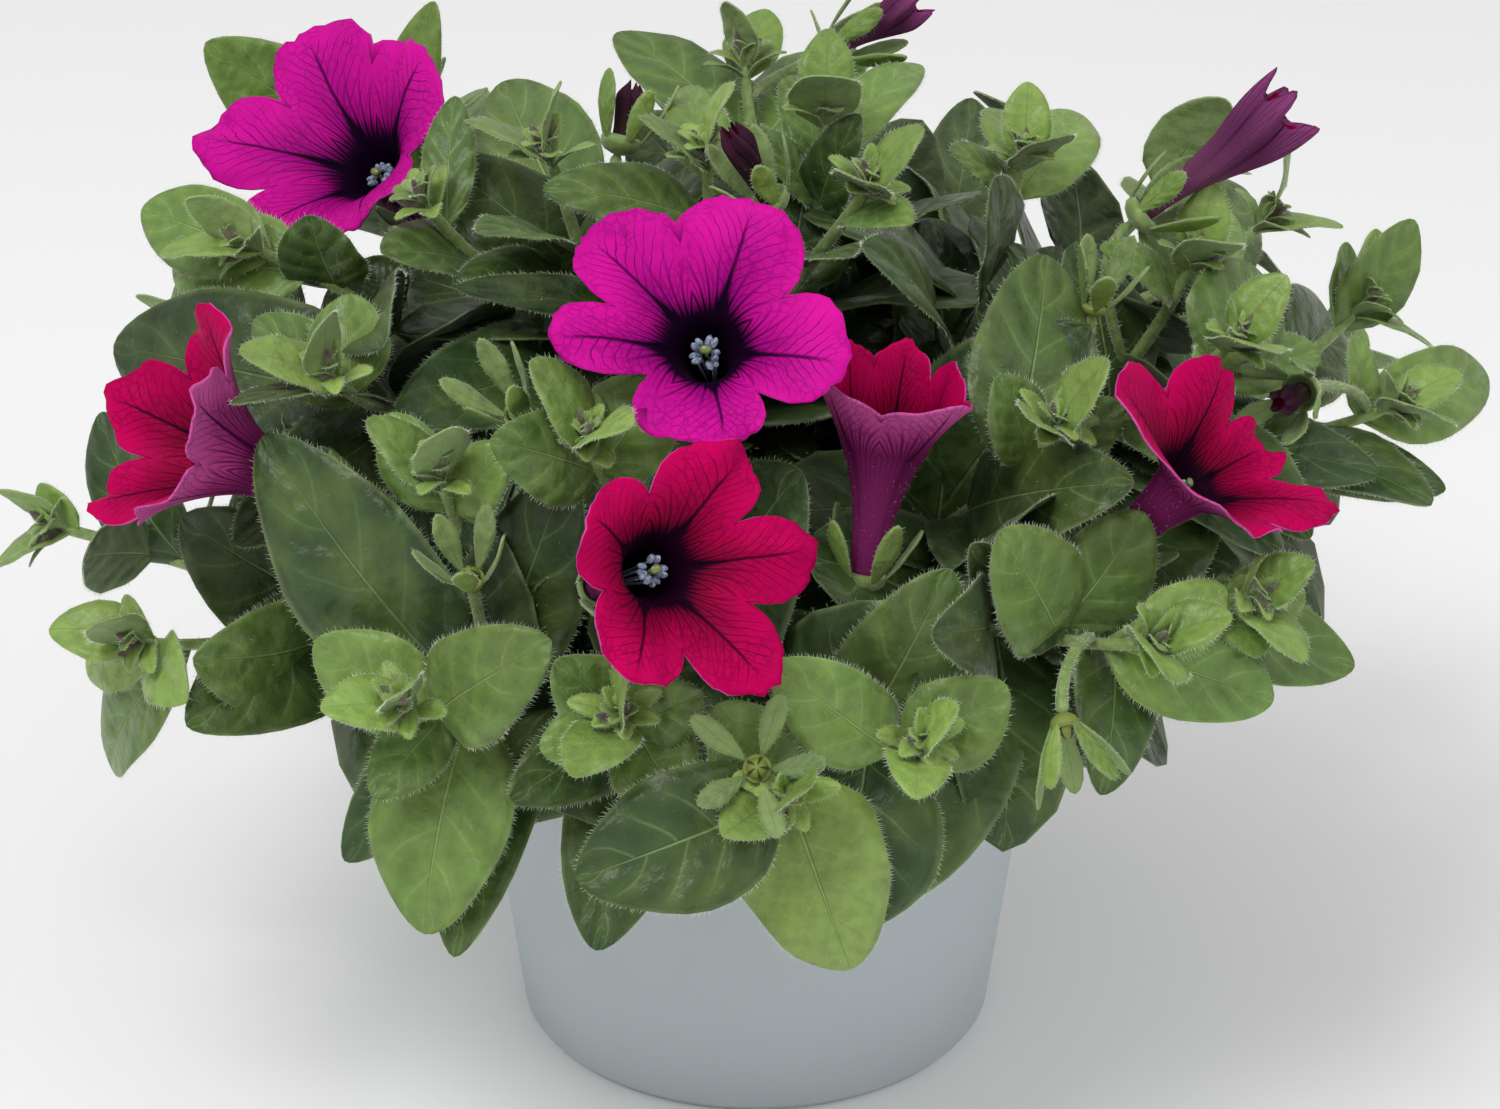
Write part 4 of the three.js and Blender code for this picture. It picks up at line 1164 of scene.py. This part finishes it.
# %% [markdown]
# ## Growing each leafy stem
# All that grows on one stem becomes one piece: its shoots, leaves, flower stalks and calyces. A leaf is older
# the further it is from the tip, and older leaves are darker. The photograph shows some to be paler or darker
# than that, and one to be broad and heart-shaped, so these are given by stem, shoot and row.

# %% Grow the leafy stems
age_of = {
    ("front_right", 0, 1): 0.0, ("front_right", 0, 0): 0.85, ("front_right", 1, 2): 0.9,
    ("front_left", 0, 3): 0.35, ("front_left", 0, 0): 0.3, ("front_left", 0, 1): 0.35,
    ("front_left", 0, 4): 1.0, ("front_left", 0, 6): 0.8, ("right_front", 0, 0): 0.4,
    ("right_front", 0, 1): 0.6, ("back_left", 0, 0): 0.35, ("left_top", 0, 0): 0.35,
    ("left_top", 0, 1): 0.4, ("left_top", 1, 2): 1.0, ("left", 0, 3): 0.45, ("left", 0, 4): 0.8,
    ("front_right", 1, 0): 0.35, ("right_front", 0, 4): 0.85,
    ("top_left", 1, 0): 0.7}
heart_leaf = ("front_right", 0, 1)
for s, (name, shoots) in enumerate(stems):
    bm = bmesh.new()
    for i, (shoot, path) in enumerate(zip(shoots, paths[name])):
        lay(bm, thick_stem, tube_surface(path, 1.7, 1.1), age=0.3)
        tip_buds(bm, path, shoot["turn"], 1000 * s + 100 * i + 400)
        leaves[name] += filler_leaves(s, i, path, shoot["turn"])
        leaves[name] += tip_leaves(path, shoot["turn"], 1000 * s + 100 * i + 300)
    for leaf in leaves[name]:
        kind, seed = leaf["key"][1], leaf["seed"]
        age = min(1, 0.12 + leaf["back"] / 42) + 0.12 * draw(seed + 21)
        age = age_of.get((name, *leaf["key"]), age)
        if (name, *leaf["key"]) == heart_leaf:
            leaf.update(width=leaf["width"] * 1.25, widest=0.6, stalked=0.1, fold=0.3, wave=0.12)
        if kind == FILLER:
            template, age = filler_leaf, 0.9
        elif kind == TIP:
            template, age = tiny_leaf, 0.1
        else:
            template = large_leaf if leaf["chord"] > 30 else middle_leaf
        lay(bm, template, leaf_surface(leaf), age=max(0, min(1, age)), shade=0.5 + 0.3 * draw(seed + 23))
    for stem_name, home, seed, spread in flowers:
        if stem_name == name:
            add_flower_base(bm, name, home, seed, spread)
    finish_piece(bm, f"leafy_{name}", green_skins, [f"stem_{name}"])

# %% [markdown]
# ## Petals
# A corolla is one funnel of five fused petals. Each has a dark main vein from the throat to near its tip,
# finer veins that fan out beside it, and a net between them, on a satin ground. The veins follow the UV,
# which runs round the funnel and out along it, so the pattern turns with each petal.

# %% Petal veins group
petal_veins, given = new_group("petal_veins", Wander=0.5, Throat=0.3)
reach, round_ = uv_of(petal_veins)
along = reach * 2 - 1
out = along.math("MAXIMUM", 0)
wander = (noise(petal_veins, 130, 3) - 0.5) * given["Wander"]
across = (round_ * 5 + 0.5).math("FRACT") - 0.5 + wander * 0.10
width = out * 27 + 7.5
off = abs(across)
off_mm = off * width
main_width = out * -0.70 + 1.05
main_vein = (off_mm / main_width).smooth(1.0, 0.1) * along.smooth(0.98, 0.7)
spread = out * 0.12 + 0.09


def fan_veins(count, vein_width):
    """Fine veins at even steps out from the main one, with their width in millimetres."""
    near = abs((off / spread * count + 0.5).math("FRACT") - 0.5)
    gap = spread * width / count
    return (near * gap / vein_width).smooth(1.0, 0.1)


second = fan_veins(1, 0.44) * along.smooth(0.8, 0.3)
third = fan_veins(2, 0.32) * along.smooth(0.65, 0.2)
crooked = (noise(petal_veins, 240, 2) - 0.5) * 1.1
side_cell = (out * 26 - off_mm * 1.25) * 0.42 + crooked + across.math("SIGN") * 0.22 + 20
side_near = abs(side_cell.math("FRACT") - 0.5)
side = (side_near / (off_mm * -0.008 + 0.115)).smooth(1.0, 0.15)
side = side * along.smooth(0.15, 0.4) * along.smooth(1.0, 0.8)
net = texture(petal_veins, "ShaderNodeTexVoronoi", 560)
net.feature = "DISTANCE_TO_EDGE"
patchy = noise(petal_veins, 160, 2).smooth(0.35, 0.65)
net_lines = Field(petal_veins, net.outputs["Distance"]).smooth(0.14, 0.0) * patchy * 0.5
fine = second
for lines in (third * 0.8, side, net_lines):
    fine = fine.math("MAXIMUM", lines)
streak = off_mm.smooth(2.0, 0.0) * 0.24 + second * 0.12
dark = given["Throat"] + streak - along + wander * 0.35
give_out(
    petal_veins, Main=main_vein, Fine=fine, Throat=dark.smooth(-0.13, 0.10), Along=along,
    Halo=off_mm.smooth(7.5, 0.0) * along.smooth(0.95, 0.0))

# %% [markdown]
# ## Petal colours
# Each skin has a ground and a rim colour, a halo by the main veins, the veins themselves and a dark throat.
# throat says how far out the dark reaches, fine how strongly the fine veins show, and tube is the colour of
# the funnel's outside where it differs.

# %% Petal materials
HIDDEN_THROAT = -1.6
petal_looks = {
    "magenta_face": dict(
        ground=(0.46, 0.003, 0.230), rim=(0.64, 0.007, 0.310), halo=(0.19, 0.001, 0.145),
        vein=(0.045, 0.0006, 0.045), deep=(0.008, 0.0008, 0.012), tint=(1.0, 0.3, 0.85),
        throat=0.14, fine=0.72, roughness=0.5),
    "crimson_face": dict(
        ground=(0.30, 0.0003, 0.036), rim=(0.53, 0.0004, 0.094), halo=(0.12, 0.0002, 0.019),
        vein=(0.038, 0.0002, 0.010), deep=(0.010, 0.0006, 0.008), tint=(1.0, 0.2, 0.6),
        throat=0.08, fine=0.72, roughness=0.5),
    "magenta_back": dict(
        ground=(0.34, 0.03, 0.20), rim=(0.46, 0.06, 0.29), halo=(0.20, 0.012, 0.14),
        vein=(0.07, 0.003, 0.05), deep=(0.03, 0.003, 0.03), tint=(1.0, 0.6, 0.95),
        tube=(0.060, 0.006, 0.040)),
    "crimson_back": dict(
        ground=(0.40, 0.040, 0.20), rim=(0.56, 0.090, 0.33), halo=(0.19, 0.008, 0.10),
        vein=(0.045, 0.002, 0.028), deep=(0.03, 0.003, 0.02), tint=(1.0, 0.6, 0.9),
        tube=(0.21, 0.022, 0.12)),
    "bright_bud": dict(
        ground=(0.23, 0.060, 0.17), rim=(0.36, 0.045, 0.23), halo=(0.12, 0.020, 0.09),
        vein=(0.040, 0.006, 0.03), deep=(0.02, 0.002, 0.02), tint=(1.0, 0.6, 0.85),
        fine=0.6, tube=(0.15, 0.045, 0.105)),
    "dark_bud": dict(
        ground=(0.060, 0.020, 0.034), rim=(0.10, 0.028, 0.058), halo=(0.040, 0.010, 0.028),
        vein=(0.020, 0.004, 0.015), deep=(0.01, 0.002, 0.01), tint=(0.9, 0.7, 0.8),
        fine=0.5, tube=(0.045, 0.024, 0.022), roughness=0.7),
}


def petal_material(
        name, ground, rim, halo, vein, deep, tint, throat=HIDDEN_THROAT, fine=0.8, tube=None, roughness=0.6):
    material, tree, shader = new_material(
        name, roughness, Specular_IOR_Level=0.03, Sheen_Weight=0.02, Sheen_Roughness=0.3, Sheen_Tint=tint)
    veins = use_group(tree, petal_veins, Wander=0.5, Throat=throat)
    color = mix(veins["Along"].smooth(0.1, 1.0), ground, rim)
    color = mix(noise(tree, 70, 3).smooth(0.35, 0.7) * 0.3, color, halo)
    color = mix(veins["Halo"] * 0.75, color, halo)
    color = mix(veins["Fine"] * fine, color, vein)
    color = mix(veins["Main"] * 0.96, color, vein)
    if tube:
        color = mix(veins["Along"].smooth(0.3, -0.8), color, tube)
    wire(shader["Base Color"], mix(veins["Throat"], color, deep))
    height = noise(tree, 1800, 2) * 0.2 - veins["Main"] * 0.7 - veins["Fine"] * 0.35
    wire(shader["Normal"], bump(height, 0.45, 0.0005))
    return material


petal_skins = {name: petal_material(name, **look) for name, look in petal_looks.items()}

# %% [markdown]
# ## Open blooms
# The corolla is a grid that goes once round and out along tube and limb. Its own details are worked in as
# the grid is laid: a crease along each main vein, a sharp notch between lobes, and a rim that waves.

# %% Corollas
corolla = Template("corolla", 46, 100, 0.4, ends=(0,), wraps=True)
corolla.sow(300, along=(0.04, 0.5), lean=(-0.3, 0.5), top=-1, lengths=(0.5, 1.0), radius=0.03)
corolla.done()


def bell(x, width):
    return np.exp(-(x / width) ** 2)


def corolla_surface(bloom, seed):
    """A funnel of five lobes, notched between them and creased along the main veins, with a waved rim."""
    start, reach, rise = np.array(bloom["lobes"], float).T
    step = (np.roll(start, -1) - start) % 360
    next_reach, next_rise = np.roll(reach, -1), np.roll(rise, -1)
    swell, length, notch = bloom["swell"], bloom["tube"], np.array(bloom["notch"])
    warp = math.log(0.5) / np.log(bloom["seam"])
    point = np.array(bloom["point"])
    next_point = np.roll(point, -1)

    def surface(u, v):
        t, s = 2 * u, (v + 1) / 2 * len(start)
        lobe = np.floor(s).astype(int) % len(start)
        between = s - np.floor(s)
        angle = np.radians(start[lobe] + between * step[lobe])
        low = np.clip(t, 0, 1)
        tube = tube_plan["foot"] + (tube_plan["middle"] - tube_plan["foot"]) * low
        tube = tube + (tube_plan["throat"] - tube_plan["middle"]) * low ** 3
        tube = tube * (1 + (bloom["wide"] - 1) * low)
        tube = tube * np.sqrt(np.clip(1 - (1 - low / 0.05).clip(0, 1) ** 2, 0, 1))
        q = np.clip(t - 1, 0, 1)
        even = between ** warp[lobe]
        off = 1 - np.abs(2 * even - 1)
        blend = even ** 2 * (3 - 2 * even)
        near = np.minimum(between, 1 - between)
        peak = np.where(between < 0.5, point[lobe], next_point[lobe])
        rim, ruffle = q ** 5, bloom["ruffle"]
        share = q * (1 - notch[lobe] * off ** 4 * q)
        share = share * (1 + rim * (0.035 * bell(near, 0.07) - 0.03 * bell(near, 0.02)))
        share = share * (1 + peak * q ** 3 * bell(near, 0.16))
        pleat = np.where(lobe == 0, bloom["pleat"] * bell(between - 0.5, 0.075), 0)
        share = share * (1 + pleat * q ** 3)
        ragged = np.sin(13 * 0.4 * np.pi * s + seed)
        ragged = ragged + np.sin(31 * 0.4 * np.pi * s) + np.sin(53 * 0.4 * np.pi * s)
        share = share * (1 + petal_plan["ragged"] * ruffle * ragged * rim)
        out = reach[lobe] + (next_reach - reach)[lobe] * blend - tube_plan["throat"]
        height = rise[lobe] + (next_rise - rise)[lobe] * blend
        radius = tube + out * share ** (1 + petal_plan["flare"] * swell)
        lift = length * low + height * (share + swell * share * (1 - share))
        lift -= petal_plan["droop"] * share ** 2 * off
        lift -= petal_plan["crease"] * np.sin(np.pi * np.clip(q, 0, 1) ** 0.6) * bell(near, 0.045)
        lift += 0.9 * ruffle * share ** 3 * np.sin(4 * np.pi * s + 3 * draw(seed))
        lift += 0.8 * ruffle * share ** 3 * np.sin(7 * 0.4 * np.pi * s + 3 * draw(seed + 1))
        lift += 0.45 * ruffle * share ** 5 * np.sin(19 * 0.4 * np.pi * s + 3 * draw(seed + 2))
        lift += 2.2 * pleat * q ** 2 / 0.15
        local = np.column_stack([radius * np.cos(angle), radius * np.sin(angle), lift])
        return moved(bloom["frame"], local)

    return surface


for i, bloom in enumerate(blooms):
    bm = bmesh.new()
    lay(bm, corolla, corolla_surface(bloom, 7000 + 10 * i))
    look = bloom["look"]
    skins = [petal_skins[f"{look}_face"], petal_skins[f"{look}_back"], leaf_hair]
    finish_piece(bm, f"corolla_{bloom['name']}", skins, [f"bloom_{bloom['name']}"])

# %% [markdown]
# ## Stamens and pistil
# Five thin filaments rise from the tube and end in pairs of pollen sacs, pale blue-grey and lumpy. Between
# them stands the style with its moist olive stigma.

# %% Stamens and pistils
anther_paint = mottled(
    "anther", 0.75, 1500, 3, [(0.12, 0.15, 0.25), (0.36, 0.42, 0.56)], edges=(0.35, 0.65),
    relief=(0.9, 0.0006), Sheen_Weight=0.2)
pistil_paint = mottled("pistil", 0.25, 900, 2, [(0.10, 0.14, 0.04), (0.22, 0.28, 0.09)], Coat_Weight=0.4)


def rod(bm, start, end, thick, thin):
    along = end - start
    turn = along.to_track_quat("Z", "Y").to_matrix().to_4x4()
    turn.translation = (start + end) / 2
    bmesh.ops.create_cone(
        bm, segments=6, radius1=thick, radius2=thin, depth=along.length, cap_ends=True, matrix=turn)


def place_in_bloom(bm, bloom):
    bmesh.ops.transform(bm, matrix=bloom["frame"], verts=bm.verts)
    for face in bm.faces:
        face.smooth = True


def grain(bm, centre, radii, turn):
    matrix = Matrix.Translation(centre) @ turn @ Matrix.Diagonal((*radii, 1))
    bmesh.ops.create_icosphere(bm, subdivisions=2, radius=1, matrix=matrix)


FILAMENT, SAC, SACS_APART, SHORTEST = (0.25, 0.2), (0.72, 0.62, 1.1), 0.55, 1.6
STYLE, STYLE_LENGTH, STIGMA = (0.4, 0.35), 5.6, (1.15, 0.9, 0.6)
for i, bloom in enumerate(blooms):
    top = bloom["tube"] - 0.6
    bm = bmesh.new()
    for k in range(5):
        seed = 7500 + 10 * i + 50 * k
        angle = math.radians(72 * k + 20 * draw(seed))
        out = Vector((math.cos(angle), math.sin(angle), 0))
        reach, height = 1.9 + 0.3 * draw(seed + 1), top + 0.8 * draw(seed + 2) - (SHORTEST if k == 4 else 0)
        end = out * reach + Vector((0, 0, height))
        rod(bm, out * 0.5 + Vector((0, 0, 1.2)), end, *FILAMENT)
        for half in (-1, 1):
            centre = end + out.cross(Vector((0, 0, 1))) * SACS_APART * half
            tilt = Matrix.Rotation(angle, 4, "Z") @ Matrix.Rotation(0.5 * draw(seed + 3) + 0.9, 4, "Y")
            grain(bm, centre, SAC, tilt)
    place_in_bloom(bm, bloom)
    finish_piece(bm, f"anthers_{bloom['name']}", [anther_paint], [f"stamens_{bloom['name']}"])
    bm = bmesh.new()
    end = Vector((0, 0, bloom["tube"] + 0.6))
    rod(bm, end - Vector((0, 0, STYLE_LENGTH)), end, *STYLE)
    grain(bm, end + Vector((0, 0, 0.4)), STIGMA, Matrix.Rotation(0.3, 4, "X"))
    place_in_bloom(bm, bloom)
    finish_piece(bm, f"style_{bloom['name']}", [pistil_paint], [f"pistil_{bloom['name']}"])

# %% [markdown]
# ## Furled buds
# A bud's five petals are pleated and wound round each other. The same kind of grid goes up the outside,
# over the folded tips and down inside the mouth, so that a half-open bud shows its bright inner face.

# %% Buds
furled = Template("furled", 36, 50, 0, ends=(0, 1), wraps=True)
for face in furled.bm.faces:
    face.material_index = TOP if face.calc_center_median().x < 0.74 else BACK
furled.sow(70, along=(0.03, 0.6), lean=(0, 0.6), top=-1, lengths=(0.4, 0.8), radius=0.03)
furled.done()


def furled_surface(bud, seed):
    """Up the outside, over the folded tips and down inside the mouth, wound round by a fifth of a turn."""
    length, radius, opening = bud["length"], bud["radius"], bud["opening"]

    def surface(u, v):
        outside = np.clip(u / 0.72, 0, 1)
        inside = np.clip((u - 0.72) / 0.28, 0, 1)
        level = outside * (1 - 0.45 * inside)
        grow = level ** 2 * (3 - 2 * level)
        wide = 1.9 + (radius - 1.9) * grow ** 1.5
        wide = wide * (1 - (1 - opening) * np.clip((level - 0.8) / 0.2, 0, 1) ** 1.5)
        wide = wide * np.sqrt(np.clip(1 - (1 - outside / 0.04).clip(0, 1) ** 2, 0, 1))
        wide = wide * (1 - 0.16 * np.clip(inside * 4, 0, 1)) * np.sqrt(np.clip(1 - inside ** 3, 0, 1))
        angle = np.pi * v + 1.3 * level * (1 + 0.1 * draw(seed))
        pleat = np.cos(5 * np.pi * v)
        wide = wide * (1 + 0.20 * level * pleat + 0.07 * level * np.cos(10 * np.pi * v + 1))
        tip = np.clip(pleat, -0.4, 1) * np.clip((level - 0.7) / 0.3, 0, 1) ** 2
        z = length * 0.93 * level + 0.09 * length * tip * (1 + 0.3 * np.sin(3 * v + seed))
        return moved(bud["frame"], np.column_stack([wide * np.cos(-angle), wide * np.sin(-angle), z]))

    return surface


for i, bud in enumerate(buds + small_buds):
    bm = bmesh.new()
    lay(bm, furled, furled_surface(bud, 8000 + 10 * i))
    outside = "bright_bud" if bud["bright"] else "dark_bud"
    skins = [petal_skins[outside], petal_skins["crimson_face"], leaf_hair]
    finish_piece(bm, f"furled_{bud['name']}", skins, [f"bud_{bud['name']}"] if bud in buds else [])

# %% [markdown]
# ## Pot and soil
# The pot is a plain tapered one, turned with spin from its profile, in which short steps round its edges. The
# soil under the leaves is turned too, then roughened, with loose crumbs on top.

# %% Pot
pot_paint, tree, shader = new_material("pot", 0.55)
cloud, speck = noise(tree, 14, 3), noise(tree, 900, 2)
wire(shader["Base Color"], mix(cloud, (0.42, 0.47, 0.495), (0.485, 0.54, 0.565)))
wire(shader["Roughness"], speck * 0.12 + 0.48)
wire(shader["Normal"], bump(speck, 0.15, 0.0002))


def wall_radius(height):
    return pot_plan["foot"] + (pot_plan["rim"] - pot_plan["foot"]) * height / pot_plan["height"]


rim, wall, ground = pot_plan["rim"], pot_plan["wall"], pot_plan["floor"]
bm = turned([
    (0, 0), (pot_plan["foot"] - 3.2, 0), (pot_plan["foot"] - 1.4, 0.5), (wall_radius(2), 2.4),
    (wall_radius(30), 30), (wall_radius(60), 60), (rim - 0.3, 92.5), (rim, 94), (rim - 0.5, 95),
    (rim - wall + 0.4, 95), (rim - wall, 94.4), (wall_radius(60) - wall, 60), (wall_radius(30) - wall, 30),
    (wall_radius(ground) - wall - 1.5, ground + 1.2),
    (wall_radius(ground) - wall - 4, ground), (0, ground)], 120, Matrix.Identity(4))
finish_piece(bm, "plain_pot", [pot_paint], ["pot"])

# %% Soil
soil_paint = mottled(
    "soil", 0.95, 160, 6, [(0.012, 0.008, 0.005), (0.06, 0.038, 0.024)], edges=(0.35, 0.7),
    relief=(1.0, 0.002))
DOME_STEPS, CRUMBS = 12, 260
inside = [wall_radius(z) - wall - 0.5 for z in (3.4, SOIL_TOP)]
profile = [(0, 3.4), (inside[0], 3.4), (inside[1], SOIL_TOP)]
for k in range(1, DOME_STEPS + 1):
    share = k / DOME_STEPS
    profile.append((inside[1] * (1 - share), SOIL_TOP + 4 * math.sin(math.pi / 2 * k / DOME_STEPS)))
bm = turned(profile, 64, Matrix.Identity(4))
for vertex in bm.verts:
    if vertex.co.z > SOIL_TOP - 1 and math.hypot(vertex.co.x, vertex.co.y) < inside[1] - 1:
        vertex.co.z += rng.uniform(-1.1, 1.1)
for _ in range(CRUMBS):
    size = rng.uniform(0.5, 1.8)
    spot = place(rng.uniform(0, 360), (inside[1] - 3) * math.sqrt(rng.uniform(0, 1)), SOIL_TOP + 1.6)
    squash = Matrix.Diagonal((1, rng.uniform(0.6, 1), rng.uniform(0.5, 1), 1))
    bmesh.ops.create_icosphere(bm, subdivisions=1, radius=size, matrix=Matrix.Translation(spot) @ squash)
finish_piece(bm, "loose_soil", [soil_paint], ["soil"])

# %% [markdown]
# ## Measure and finish
# The visual model has to stay the size of the CAD model. Here the triangles that all the pieces add are
# counted.

# %% Count and finish
print("triangles added:", sum(totals))
